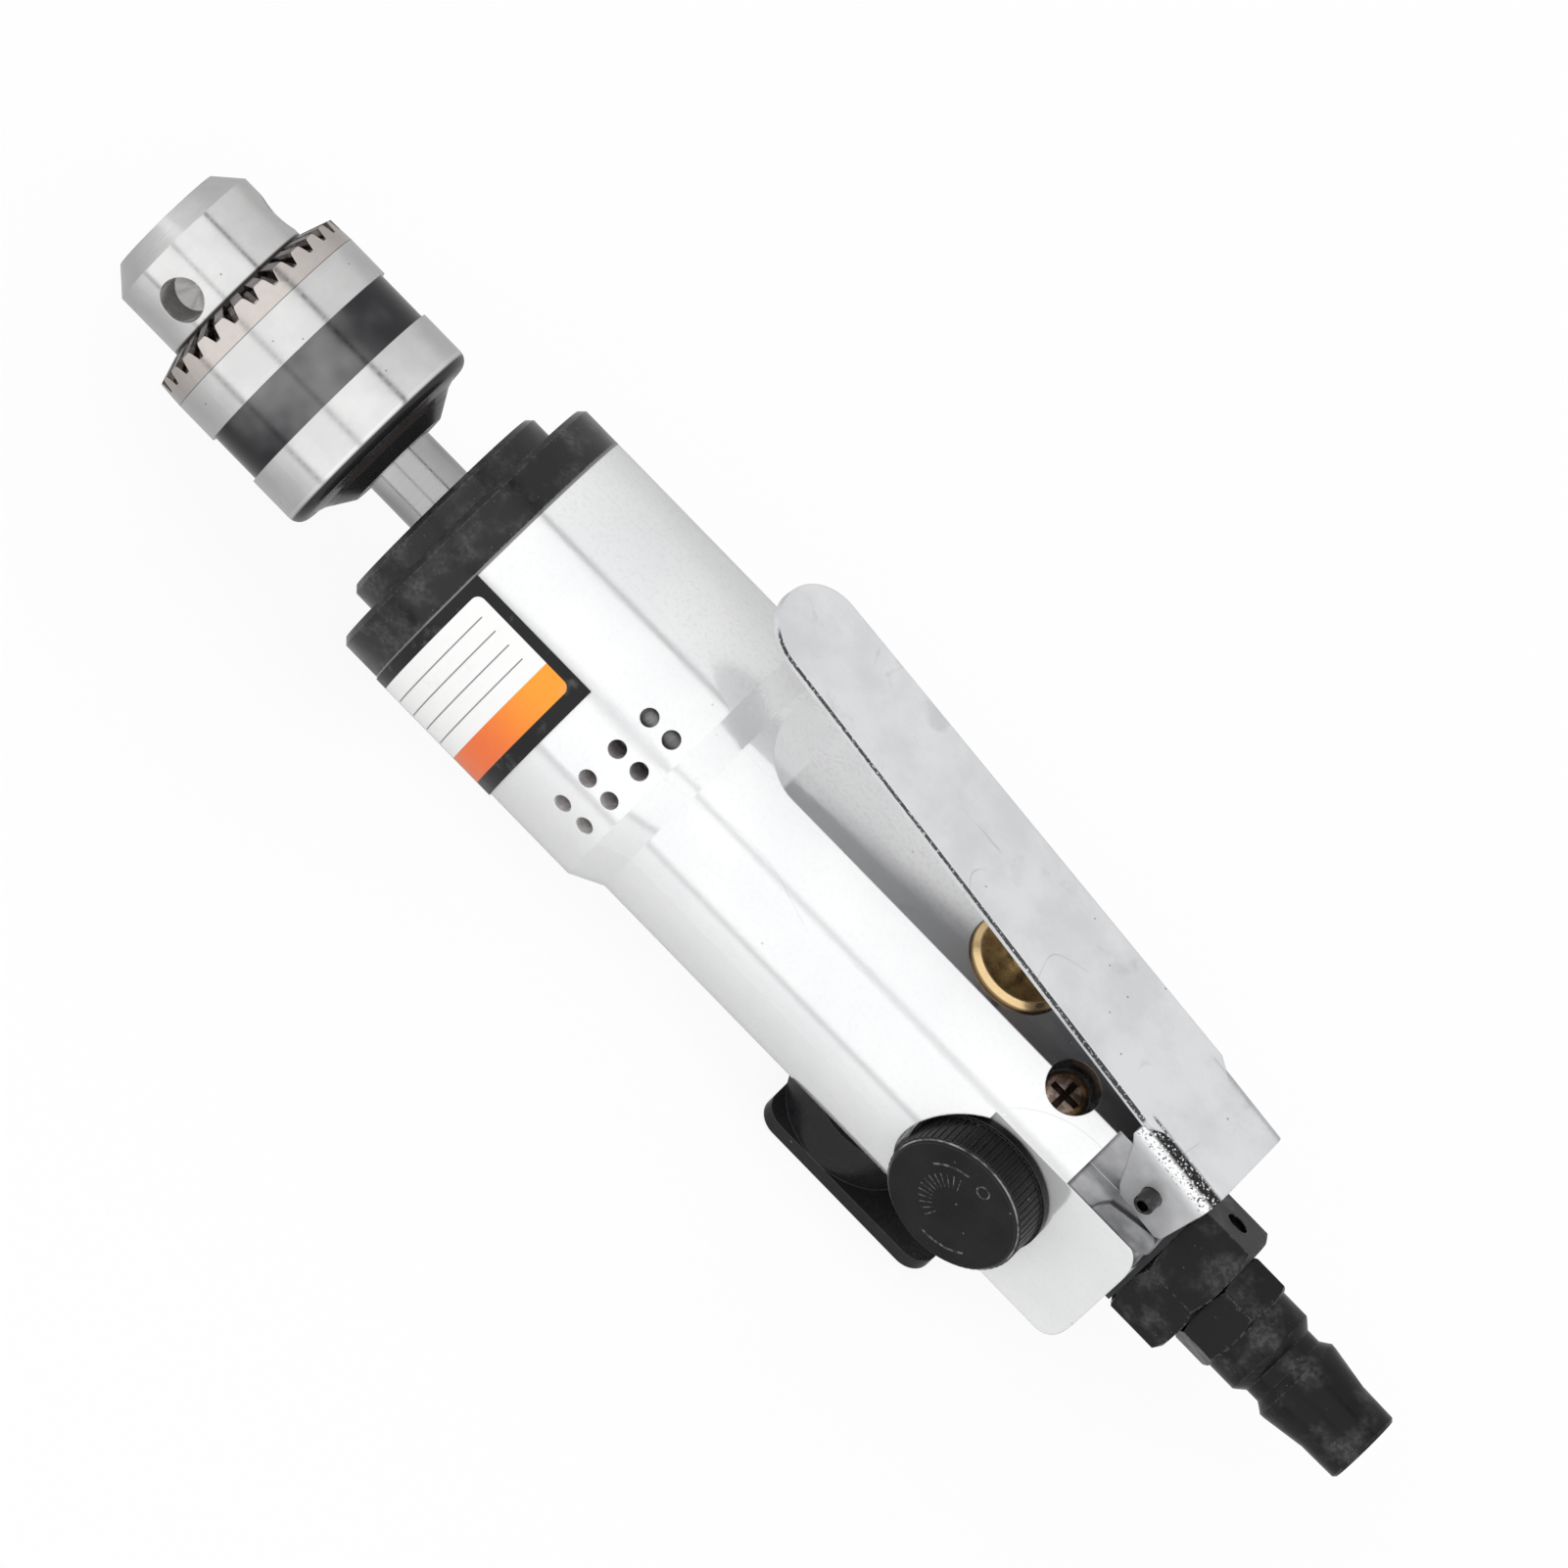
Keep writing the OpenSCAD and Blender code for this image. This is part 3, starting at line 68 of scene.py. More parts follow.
class Surface:
    """A Principled material, its colour as painted so far, and short calls that add nodes to it."""

    def __init__(self, name, metallic=0.0, roughness=0.5, specular=0.5, coat=0.0, coat_roughness=0.1):
        self.material = bpy.data.materials.new(name)
        self.material.use_nodes = True
        self.tree = self.material.node_tree
        self.shader = self.tree.nodes["Principled BSDF"]
        self.shader.inputs["Metallic"].default_value = metallic
        self.shader.inputs["Roughness"].default_value = roughness
        self.shader.inputs["Specular IOR Level"].default_value = specular
        self.shader.inputs["Coat Weight"].default_value = coat
        self.shader.inputs["Coat Roughness"].default_value = coat_roughness
        self.place = self.node("ShaderNodeTexCoord").outputs["Object"]
        self.base = None

    # Nodes and links

    def node(self, kind, **settings):
        made = self.tree.nodes.new(kind)
        for key, value in settings.items():
            setattr(made, key, value)
        return made

    def feed(self, socket, value):
        """Link a socket to another node's output, or set it to a number or a colour."""
        if isinstance(value, bpy.types.NodeSocket):
            self.tree.links.new(value, socket)
        elif isinstance(value, tuple):
            socket.default_value = (*value, 1.0)
        else:
            socket.default_value = value

    # Sums

    def math(self, operation, a, b=0.0):
        made = self.node("ShaderNodeMath", operation=operation)
        self.feed(made.inputs[0], a)
        self.feed(made.inputs[1], b)
        return made.outputs[0]

    def add(self, a, b):
        return self.math("ADD", a, b)

    def minus(self, a, b):
        return self.math("SUBTRACT", a, b)

    def either(self, a, b):
        return self.math("MAXIMUM", a, b)

    def unsigned(self, a):
        return self.math("ABSOLUTE", a)

    def product(self, first, *others):
        out = first
        for value in others:
            out = self.math("MULTIPLY", out, value)
        return out

    def length(self, a, b):
        return self.math("SQRT", self.add(self.math("POWER", a, 2.0), self.math("POWER", b, 2.0)))

    # Places and directions, which ride with the piece

    def split(self, vector):
        made = self.node("ShaderNodeSeparateXYZ")
        self.feed(made.inputs[0], vector)
        return made.outputs[0], made.outputs[1], made.outputs[2]

    def axes(self):
        return self.split(self.place)

    def facing(self):
        return self.split(self.node("ShaderNodeTexCoord").outputs["Normal"])

    # Steps from one level to another

    def ramp(self, value, start, end, low=0.0, high=1.0):
        """A soft step up: low up to start, high from end on."""
        made = self.node("ShaderNodeMapRange", interpolation_type="SMOOTHSTEP")
        self.feed(made.inputs["Value"], value)
        made.inputs["From Min"].default_value = start
        made.inputs["From Max"].default_value = end
        made.inputs["To Min"].default_value = low
        made.inputs["To Max"].default_value = high
        return made.outputs[0]

    def fall(self, value, start, end, high=1.0, low=0.0):
        """A soft step down: high up to start, low from end on."""
        return self.ramp(value, start, end, high, low)

    def spread(self, noise, first=0.0, last=1.0):
        """Turn a noise's usual range into the range from first to last."""
        return self.ramp(noise, NOISE_LOW, NOISE_HIGH, first, last)

    def within(self, value, low, high, soft=SOFT):
        """1 where low < value < high."""
        up = self.ramp(value, low - soft, low + soft)
        down = self.fall(value, high - soft, high + soft)
        return self.product(up, down)

    # Patterns

    def noise(self, size, detail=4.0, roughness=0.55, stretch=(1, 1, 1), distortion=0.0):
        mapping = self.node("ShaderNodeMapping")
        self.feed(mapping.inputs["Vector"], self.place)
        mapping.inputs["Scale"].default_value = stretch
        made = self.node("ShaderNodeTexNoise")
        self.feed(made.inputs["Vector"], mapping.outputs[0])
        made.inputs["Scale"].default_value = 1.0 / size
        made.inputs["Detail"].default_value = detail
        made.inputs["Roughness"].default_value = roughness
        made.inputs["Distortion"].default_value = distortion
        return made.outputs["Fac"]

    def specks(self, spacing, radius):
        """1 inside small round specks about one spacing apart. The radius is a share of the spacing."""
        made = self.node("ShaderNodeTexVoronoi", feature="F1")
        self.feed(made.inputs["Vector"], self.place)
        made.inputs["Scale"].default_value = 1.0 / spacing
        return self.fall(made.outputs["Distance"], radius * 0.6, radius)

    def scratches(self, size, width):
        """1 on thin broken curved lines."""
        middle = 0.5
        field = self.noise(size, detail=1.5, distortion=0.3)
        line = self.within(field, middle - width, middle + width, width)
        broken = self.ramp(self.noise(size * 0.7), start=0.52, end=0.6)
        return self.product(line, broken)

    def edges(self, radius):
        """1 along sharp edges."""
        bevel = self.node("ShaderNodeBevel", samples=BEVEL_SAMPLES)
        bevel.inputs["Radius"].default_value = radius
        plain = self.node("ShaderNodeNewGeometry")
        dot = self.node("ShaderNodeVectorMath", operation="DOT_PRODUCT")
        self.feed(dot.inputs[0], bevel.outputs[0])
        self.feed(dot.inputs[1], plain.outputs["Normal"])
        return self.fall(dot.outputs["Value"], start=0.82, end=0.99)

    # Colour

    def mix(self, share, a, b):
        made = self.node("ShaderNodeMix", data_type="RGBA")
        self.feed(made.inputs[0], share)
        self.feed(made.inputs[6], a)
        self.feed(made.inputs[7], b)
        return made.outputs[2]

    def prime(self, share, a, b):
        """Start the colour as a mix of two."""
        self.base = self.mix(share, a, b)

    def paint(self, share, colour, strength=None):
        """Lay a colour over what is there."""
        if strength is not None:
            share = self.product(share, strength)
        self.base = self.mix(share, self.base, colour)

    # What the shader takes in the end

    def finish(self, roughness, height, depth, round_edge=None, metallic=None):
        """Give the shader its painted colour, roughness and bump, and if asked rounded edges and metal."""
        self.feed(self.shader.inputs["Base Color"], self.base)
        self.feed(self.shader.inputs["Roughness"], roughness)
        if metallic is not None:
            self.feed(self.shader.inputs["Metallic"], metallic)
        made = self.node("ShaderNodeBump")
        made.inputs["Strength"].default_value = 1.0
        made.inputs["Distance"].default_value = depth
        self.feed(made.inputs["Height"], height)
        if round_edge is not None:
            bevel = self.node("ShaderNodeBevel", samples=BEVEL_SAMPLES)
            bevel.inputs["Radius"].default_value = round_edge
            self.feed(made.inputs["Normal"], bevel.outputs[0])
        self.feed(self.shader.inputs["Normal"], made.outputs[0])
        return self.material

    def white_to_camera(self, share):
        """Let the camera see a share of plain white over the shading, and glossy rays see past the floor."""
        path = self.node("ShaderNodeLightPath")
        glow = self.node("ShaderNodeEmission")
        clear = self.node("ShaderNodeBsdfTransparent")
        white = self.node("ShaderNodeMixShader")
        self.feed(white.inputs[0], self.product(path.outputs["Is Camera Ray"], share))
        self.feed(white.inputs[1], self.shader.outputs[0])
        self.feed(white.inputs[2], glow.outputs[0])
        out = self.node("ShaderNodeMixShader")
        self.feed(out.inputs[0], path.outputs["Is Glossy Ray"])
        self.feed(out.inputs[1], white.outputs[0])
        self.feed(out.inputs[2], clear.outputs[0])
        self.feed(self.tree.nodes["Material Output"].inputs["Surface"], out.outputs[0])


def keeper_aside(s, y, z):
    """How far a place is from the keeper screw's axis across the tool."""
    return s.minus(s.product(y, math.sin(KEEPER_LEAN)), s.product(z, math.cos(KEEPER_LEAN)))


# Housing

def exhaust_holes(s, x, rho):
    """1 on the walls of the exhaust holes."""
    barrel_r = 0.0221
    edge_depth = 0.0003
    back = 0.1300
    front = 0.1450
    return s.product(s.fall(rho, barrel_r - edge_depth, barrel_r), s.within(x, back, front))


def ear_recesses(s, x, out, z):
    """1 in the recesses for the lever's ears, and 1 in their corners."""
    front = 0.0533
    inner = 0.0078
    outer = 0.01572
    low = 0.0095
    high = 0.0180
    recess = s.product(s.fall(x, front - 0.00005, front), s.within(out, inner, outer), s.within(z, low, high))
    front_corner = s.ramp(x, front - 0.0008, front - 0.0002)
    outer_corner = s.ramp(out, outer - 0.00072, outer - 0.00012)
    return recess, s.either(front_corner, outer_corner)


def keeper_bore(s, x, y, z):
    """1 in the keeper screw's counterbore."""
    radius = 0.00394
    below = 0.008
    above = 0.010
    from_axis = s.length(s.minus(x, KEEPER_X), keeper_aside(s, y, z))
    return s.product(s.fall(from_axis, radius, radius + SOFT), s.ramp(z, below, above))


def top_flat(s, out, z):
    """1 on the milled flat under the lever."""
    flat_z = 0.01815
    half_width = 0.0085
    soft = 0.0001
    level = s.within(z, flat_z - soft, flat_z + soft)
    return s.product(level, s.fall(out, half_width - soft, half_width + soft))


def polished_aluminium():
    """Tumbled and buffed casting: part sharp, part soft reflection, with smudges, pits and soot, and painted
    shade in the hollows, at the nut's joint and on the flat under the lever.
    """
    nut_joint_x = 0.16465
    joint_soft = 0.0001
    shade = (0.895, 0.90, 0.91)
    light = (0.95, 0.953, 0.958)
    pit_colour = (0.3, 0.3, 0.31)
    scratch_colour = grey(0.5)
    sand_colour = (0.55, 0.55, 0.56)
    soot_colour = (0.34, 0.29, 0.27)
    recess_shade_colour = (0.18, 0.18, 0.19)
    corner_shade_colour = (0.05, 0.045, 0.045)
    bore_shade_colour = (0.07, 0.065, 0.065)
    joint_shade_colour = grey(0.05)
    painted_shade_colour = (0.16, 0.16, 0.165)

    s = Surface("polished_aluminium")
    x, y, z = s.axes()
    out = s.unsigned(y)
    rho = s.length(y, z)
    cloud = s.noise(size=0.02, detail=4)
    grain = s.noise(size=0.0009, detail=5)
    smear = s.noise(size=0.0035, detail=6, stretch=(0.25, 1, 1))
    pits = s.specks(spacing=0.0042, radius=0.06)
    pitted_areas = s.ramp(s.noise(size=0.01), start=0.5, end=0.62, high=0.75)
    s.prime(s.spread(cloud), shade, light)
    s.paint(s.product(pits, pitted_areas), pit_colour)
    s.paint(s.scratches(size=0.05, width=0.0012), scratch_colour, strength=0.3)

    # The top and the far side are duller and sandier than the knob's side
    duller = s.fall(s.math("DIVIDE", y, rho), start=0.17, end=0.34)
    sand = s.ramp(s.noise(size=0.0006, detail=4), start=0.48, end=0.66)
    s.paint(s.product(sand, s.add(0.07, s.product(duller, 0.1))), sand_colour)

    holes = exhaust_holes(s, x, rho)
    soot = s.fall(s.noise(size=0.0012, detail=5), start=0.35, end=0.7, high=0.7, low=0.3)
    s.paint(s.product(holes, soot), soot_colour)

    recess, corner = ear_recesses(s, x, out, z)
    # Painted shade in the recesses for the lever's ears, mottled by a noise, and darker painted shade in
    # their corners
    recess_shade = s.spread(s.noise(size=0.005, detail=6), 0.85, 0.45)
    s.paint(s.product(recess, recess_shade), recess_shade_colour)
    s.paint(s.product(recess, corner), corner_shade_colour, strength=0.6)

    bore = keeper_bore(s, x, y, z)
    # Painted shade in the keeper screw's counterbore, mottled like stains
    stains_and_shade = s.fall(s.noise(size=0.0014, detail=5), start=0.3, end=0.75, high=0.95, low=0.6)
    s.paint(s.product(bore, stains_and_shade), bore_shade_colour)
    # Painted shade in the gap where the housing meets the clamp nut
    s.paint(s.ramp(x, nut_joint_x - joint_soft, nut_joint_x + joint_soft, high=0.8), joint_shade_colour)

    # Painted shade on the flat under the lever, strong by the lever's ears and faint towards the barrel,
    # smeared by a noise
    flat = top_flat(s, out, z)
    oil_and_shade = s.fall(x, start=0.058, end=0.098, high=0.8, low=0.05)
    s.paint(s.product(flat, oil_and_shade, s.spread(smear, 1.0, 0.7)), painted_shade_colour)

    bare = s.either(flat, s.either(recess, bore))
    metallic = s.minus(s.add(0.5, s.product(bare, 0.45)), s.product(holes, 0.4))
    gloss = s.add(s.spread(smear, 0.07, 0.12), s.product(pits, 0.2))
    roughness = s.add(gloss, s.product(duller, 0.16))
    height = s.add(s.product(grain, 0.35), cloud)
    return s.finish(roughness, height, depth=0.00002, round_edge=0.00025, metallic=metallic)


# Throttle lever

def lever_places(s, x, z):
    """Places in the lever's own directions, from its pin: along the plate and up from it."""
    pin_x = 0.0442
    pin_z = 0.0154
    tilt = math.radians(8.6)
    from_pin_x = s.minus(x, pin_x)
    from_pin_z = s.minus(z, pin_z)
    along = s.add(s.product(from_pin_x, math.cos(tilt)), s.product(from_pin_z, math.sin(tilt)))
    height = s.minus(s.product(from_pin_z, math.cos(tilt)), s.product(from_pin_x, math.sin(tilt)))
    return along, height


def lever_bends(s, y, out, along, height, bend_end):
    """1 on the upper part and 1 on the lower part of the bends over the ears, where the painted dark
    reflection and the painted highlight go.
    """
    centre_out = 0.0066
    centre_up = 0.0050
    inner_r = 0.0024
    outer_r = 0.0031
    fade = 0.0012
    near_from = 0.001
    far_share = 0.2
    soft_turn = 0.12

    from_centre_out = s.minus(out, centre_out)
    from_centre_up = s.minus(height, centre_up)
    turn = s.math("ARCTAN2", from_centre_up, from_centre_out)
    bend = s.product(s.within(s.length(from_centre_out, from_centre_up), inner_r, outer_r),
                     s.fall(along, bend_end - fade, bend_end))
    # The upper part counts fully on the knob's side and only faintly on the far side
    near_side = s.ramp(y, -near_from, near_from, low=far_share)
    upper = s.product(bend, near_side, s.within(turn, math.radians(42), math.radians(76), soft_turn))
    lower = s.product(bend, s.within(turn, math.radians(8), math.radians(44), soft_turn))
    return upper, lower


def zinc_plate():
    """Bent sheet: cloudy zinc on top, painted shade on the underside and on the ears, speckled bends with a
    painted highlight and a painted dark reflection, and black lines along the edges.
    """
    bend_end = 0.0092
    ear_top = 0.0035
    edge_line_z = 0.00735
    edge_line_rise = 0.0003
    shade = (0.765, 0.775, 0.795)
    light = (0.875, 0.88, 0.89)
    stain_colour = (0.55, 0.55, 0.57)
    speck_colour = grey(0.25)
    scratch_colour = (0.35, 0.35, 0.36)
    painted_shade_colour = (0.16, 0.16, 0.17)
    bright = grey(1.0)
    black = grey(0.02)
    ear_shade_colour = (0.50, 0.50, 0.51)
    outline_shade_colour = grey(0.06)

    s = Surface("zinc_plate", metallic=0.72)
    x, y, z = s.axes()
    _, ny, nz = s.facing()
    out = s.unsigned(y)
    along, height = lever_places(s, x, z)
    cloud = s.noise(size=0.012, detail=6, roughness=0.6)
    fine = s.noise(size=0.0009, detail=4)
    crackle = s.noise(size=0.00035, detail=3)
    stains_and_shade = s.ramp(s.noise(size=0.005, detail=6, distortion=0.6), start=0.62, end=0.75, high=0.4)
    s.prime(s.ramp(cloud, start=0.35, end=0.65), shade, light)
    s.paint(stains_and_shade, stain_colour)
    s.paint(s.specks(spacing=0.004, radius=0.055), speck_colour, strength=0.7)
    s.paint(s.scratches(size=0.03, width=0.0015), scratch_colour, strength=0.4)

    # Painted shade on the underside, darker near the pin and lighter further along the lever
    under = s.fall(nz, start=-0.9, end=-0.6)
    s.paint(s.product(under, s.fall(along, start=0.02, end=0.075, high=0.85, low=0.4)), painted_shade_colour)

    # A painted highlight low on each bend and a painted dark reflection above it, both crackled
    upper, lower = lever_bends(s, y, out, along, height, bend_end)
    s.paint(s.product(lower, s.ramp(crackle, start=0.44, end=0.5)), bright)
    s.paint(s.either(s.product(upper, s.fall(crackle, start=0.58, end=0.63)),
                     s.product(lower, s.fall(crackle, start=0.36, end=0.42))), black)

    # The ears: painted shade, cloudy, with a painted dark outline along their edges
    clouded = s.fall(s.noise(size=0.005, detail=6), start=0.3, end=0.75, high=0.6, low=0.3)
    s.paint(s.product(s.fall(height, ear_top, ear_top + 0.0017), clouded), ear_shade_colour)
    outline = s.product(s.edges(radius=0.00025), s.fall(height, ear_top, ear_top + 0.001))
    s.paint(outline, outline_shade_colour, strength=0.8)

    # A broken black line along the upper part of the plate's cut edge
    side = s.product(s.ramp(s.unsigned(ny), start=0.7, end=0.85),
                     s.ramp(along, bend_end - 0.0004, bend_end + 0.0002))
    rise = s.add(s.product(crackle, edge_line_rise),
                 s.fall(along, start=0.012, end=0.055, high=edge_line_rise))
    line = s.product(side, s.ramp(s.add(height, rise), edge_line_z, edge_line_z + 0.0001),
                     s.ramp(crackle, start=0.36, end=0.42))
    s.paint(line, black, strength=0.92)

    roughness = s.add(s.spread(cloud, 0.3, 0.42), s.product(fine, 0.08))
    relief = s.add(fine, s.product(cloud, 2.0))
    return s.finish(roughness, relief, depth=0.00005, round_edge=0.0002)


# Black parts

def black_oxide(name, base_grey=0.002, shine=0.24, gloss=0.26):
    """Blackened steel: cloudy, hazed and dusty, with grey at the edges from wear and a painted highlight."""
    dark = (base_grey, base_grey, base_grey * 1.05)
    lighter = tuple(2.2 * c for c in dark)
    wear_and_highlight_colour = (0.35, 0.34, 0.33)
    dust_colour = grey(0.3)
    haze_colour = grey(0.075)

    s = Surface(name, specular=gloss)
    cloud = s.noise(size=0.004, detail=6)
    fine = s.noise(size=0.0007, detail=4)
    s.prime(s.ramp(cloud, start=0.35, end=0.75), dark, lighter)
    # Grey along the edges: wear, and a painted highlight
    s.paint(s.product(s.edges(radius=0.0003), s.ramp(fine, start=0.4, end=0.62, high=0.55)), wear_and_highlight_colour)
    dusty = s.ramp(cloud, start=0.45, end=0.6, high=0.3)
    s.paint(s.product(s.specks(spacing=0.0011, radius=0.12), dusty), dust_colour)
    haze = s.product(s.ramp(s.noise(size=0.006, detail=6), start=0.48, end=0.68),
                     s.ramp(fine, start=0.35, end=0.65, low=0.3))
    s.paint(haze, haze_colour, strength=0.7)

    roughness = s.add(s.spread(cloud, shine - 0.1, shine + 0.1), s.product(fine, 0.08))
    height = s.add(fine, s.product(cloud, 2.0))
    return s.finish(roughness, height, depth=0.000018, round_edge=0.0003)


def black_enamel(name, base_grey=0.004):
    """Satin black paint with a little dust and light edges. The knob's has marks and a painted highlight
    along its rim too.
    """
    dark = (base_grey, base_grey, base_grey * 1.1)
    lighter = (base_grey + 0.006, base_grey + 0.006, base_grey + 0.007)
    dust_colour = (0.35, 0.34, 0.32)
    edge_colour = grey(0.3)
    mark_colour = grey(0.35)
    rim_highlight_colour = (0.45, 0.45, 0.46)
    mark_height = 6.0

    s = Surface(name, specular=0.2)
    cloud = s.noise(size=0.008, detail=5)
    fine = s.noise(size=0.0005, detail=3)
    s.prime(s.ramp(cloud, start=0.35, end=0.7), dark, lighter)
    s.paint(s.specks(spacing=0.0028, radius=0.07), dust_colour, strength=0.35)
    s.paint(s.edges(radius=0.0002), edge_colour, strength=0.25)
    height = s.add(fine, cloud)
    if name == "knob_enamel":
        marks, rim = knob_marks(s)
        worn_marks = s.ramp(s.noise(size=0.0007, detail=3), start=0.42, end=0.62, low=0.15)
        # A painted highlight along the knob's rim, broken by a noise
        broken_rim_highlight = s.ramp(s.noise(size=0.003), start=0.38, end=0.62, low=0.1)
        s.paint(s.product(marks, worn_marks), mark_colour, strength=0.4)
        s.paint(s.product(rim, broken_rim_highlight), rim_highlight_colour, strength=0.7)
        height = s.add(height, s.product(marks, mark_height))
    return s.finish(s.spread(cloud, 0.24, 0.4), height, depth=0.00005, round_edge=0.0002)


def knob_marks(s):
    """Raised arcs, a small ring and a fan of plain ticks on the knob's face, and the band along its rim that
    takes a painted highlight.
    """
    low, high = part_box("regulator_knob")
    knob_r = (high.x - low.x) / 2
    top_arc_r = 0.0064
    low_arc_r = 0.0073
    arc_width = 0.0004
    soft_turn = 0.02
    ring_left = 0.0016
    ring_up = 0.0063
    ring_in = 0.0008
    ring_out = 0.0011
    tick_in = 0.0030
    tick_out = 0.0052
    ticks_round = 30.0
    fan_end = math.radians(77)

    x, y, z = s.axes()
    right = s.minus(x, (low.x + high.x) / 2)
    up = s.minus(z, (low.z + high.z) / 2)
    rho = s.length(right, up)
    turn = s.math("ARCTAN2", up, right)
    top_arc = s.product(s.within(rho, top_arc_r, top_arc_r + arc_width),
                        s.within(turn, math.radians(30), math.radians(80), soft_turn))
    low_arc = s.product(s.within(rho, low_arc_r, low_arc_r + arc_width),
                        s.within(turn, math.radians(-138), math.radians(-86), soft_turn))
    ring = s.within(s.length(s.add(right, ring_left), s.minus(up, ring_up)), ring_in, ring_out)
    beat = s.math("COSINE", s.product(turn, ticks_round))
    fan = s.within(s.unsigned(turn), math.radians(-1), fan_end, soft_turn / 2)
    ticks = s.product(s.ramp(beat, start=0.80, end=0.86), s.within(rho, tick_in, tick_out), fan)
    marks = s.either(s.either(top_arc, low_arc), s.either(ring, ticks))
    face = s.ramp(y, high.y - 0.0003, high.y - 0.0001)
    rim = s.product(s.within(rho, knob_r - 0.00075, knob_r - 0.0006, soft=0.00006),
                    s.ramp(y, high.y - 0.0008, high.y - 0.0004))
    return s.product(marks, face), rim


# Brass, steel, rubber and resin

def turned_brass(name, tone=1.0, stains_and_shade=0.0):
    """Turned brass with dark stain blots. The bushing's has a painted highlight on its chamfer and painted
    shade at its foot; the keeper screw's has painted shade in its cross recess and round its head, and
    painted highlights between the arms.
    """
    dull = tuple(tone * c for c in (0.33, 0.20, 0.08))
    warm = tuple(tone * c for c in (0.66, 0.44, 0.18 + 0.35 * stains_and_shade))
    blot_colour = (0.05, 0.032, 0.024)

    s = Surface(name, metallic=1.0)
    rings = s.noise(size=0.0016, detail=4)
    s.prime(s.ramp(s.noise(size=0.004, detail=5), start=0.35, end=0.68), dull, warm)
    blots = s.ramp(s.noise(size=0.0018, detail=4), start=0.45, end=0.55)
    s.paint(blots, blot_colour, strength=stains_and_shade)
    if name == "stained_brass":
        keeper_cross(s, blots)
    if name == "turned_brass":
        bushing_rim(s)
    return s.finish(s.spread(rings, 0.2, 0.36), rings, depth=0.00004, round_edge=0.00015)


def keeper_cross(s, blots):
    """Painted shade inside the screw's cross recess and round its head, and painted highlights between the
    arms.
    """
    arm_half_width = 0.00050
    arm_l = 0.0022
    head_r = 0.0026
    head_top = 0.0142
    wear_and_highlight_colour = (0.62, 0.50, 0.40)
    slot_shade_colour = (0.02, 0.014, 0.012)
    gap_shade_colour = (0.03, 0.022, 0.018)

    x, y, z = s.axes()
    along = s.unsigned(s.minus(x, KEEPER_X))
    across = s.unsigned(keeper_aside(s, y, z))
    depth = s.add(s.product(y, math.cos(KEEPER_LEAN)), s.product(z, math.sin(KEEPER_LEAN)))
    arms = s.either(s.within(along, -1, arm_half_width), s.within(across, -1, arm_half_width))
    from_axis = s.length(along, across)
    near = s.fall(from_axis, arm_l, arm_l + 0.0002)
    slot = s.product(arms, near, s.fall(depth, head_top - 0.00005, head_top - 0.00001))
    # Painted highlights on the head between the arms, broken up by the blots
    highlight_share = s.fall(blots, start=0.2, end=0.8, high=0.75, low=0.3)
    s.paint(s.product(s.minus(1.0, arms), near, highlight_share), wear_and_highlight_colour)
    # Painted shade in the cross recess
    s.paint(slot, slot_shade_colour, strength=0.93)
    # Painted shade in the gap round the head
    s.paint(s.ramp(from_axis, head_r, head_r + 0.0005, high=0.9), gap_shade_colour)


def bushing_rim(s):
    """A painted highlight on the valve bushing's chamfer and painted shade at its foot, where it meets the
    flat.
    """
    bushing_x = 0.0783
    rim_in = 0.0063
    rim_out = 0.0074
    rim_z = 0.0178
    foot_r = 0.0071
    foot_z = 0.0186
    rim_highlight_colour = (0.95, 0.70, 0.38)
    foot_shade_colour = (0.10, 0.06, 0.03)

    x, y, z = s.axes()
    rho = s.length(s.minus(x, bushing_x), y)
    # Painted highlight on the chamfer
    rim = s.product(s.within(rho, rim_in, rim_out), s.ramp(z, rim_z, rim_z + 0.0004))
    s.paint(rim, rim_highlight_colour, strength=0.85)
    # Painted shade at the foot
    foot = s.product(s.ramp(rho, foot_r, foot_r + 0.0002), s.fall(z, foot_z, foot_z + 0.0004))
    s.paint(foot, foot_shade_colour, strength=0.8)


def bright_steel(name, level=0.62, rough=0.26):
    """Turned steel with fine lines round the tool's axis."""
    shade = grey(level * 0.8)
    light = (level, level, level * 0.99)
    s = Surface(name, metallic=1.0)
    lines = s.noise(size=0.0006, detail=5, stretch=(1, 0.08, 0.08))
    s.prime(s.ramp(s.noise(size=0.009, detail=4), start=0.35, end=0.7), shade, light)
    return s.finish(s.spread(lines, rough - 0.06, rough + 0.08), lines, depth=0.00003, round_edge=0.00015)


def plain_dark(name, colour, rough):
    """Rubber or resin, cloudy."""
    lighter = tuple(min(1.0, 1.8 * c) for c in colour)
    s = Surface(name, specular=0.4)
    cloud = s.noise(size=0.004, detail=4)
    s.prime(cloud, colour, lighter)
    return s.finish(s.spread(cloud, rough - 0.05, rough + 0.05), cloud, depth=0.00005)


# Chuck

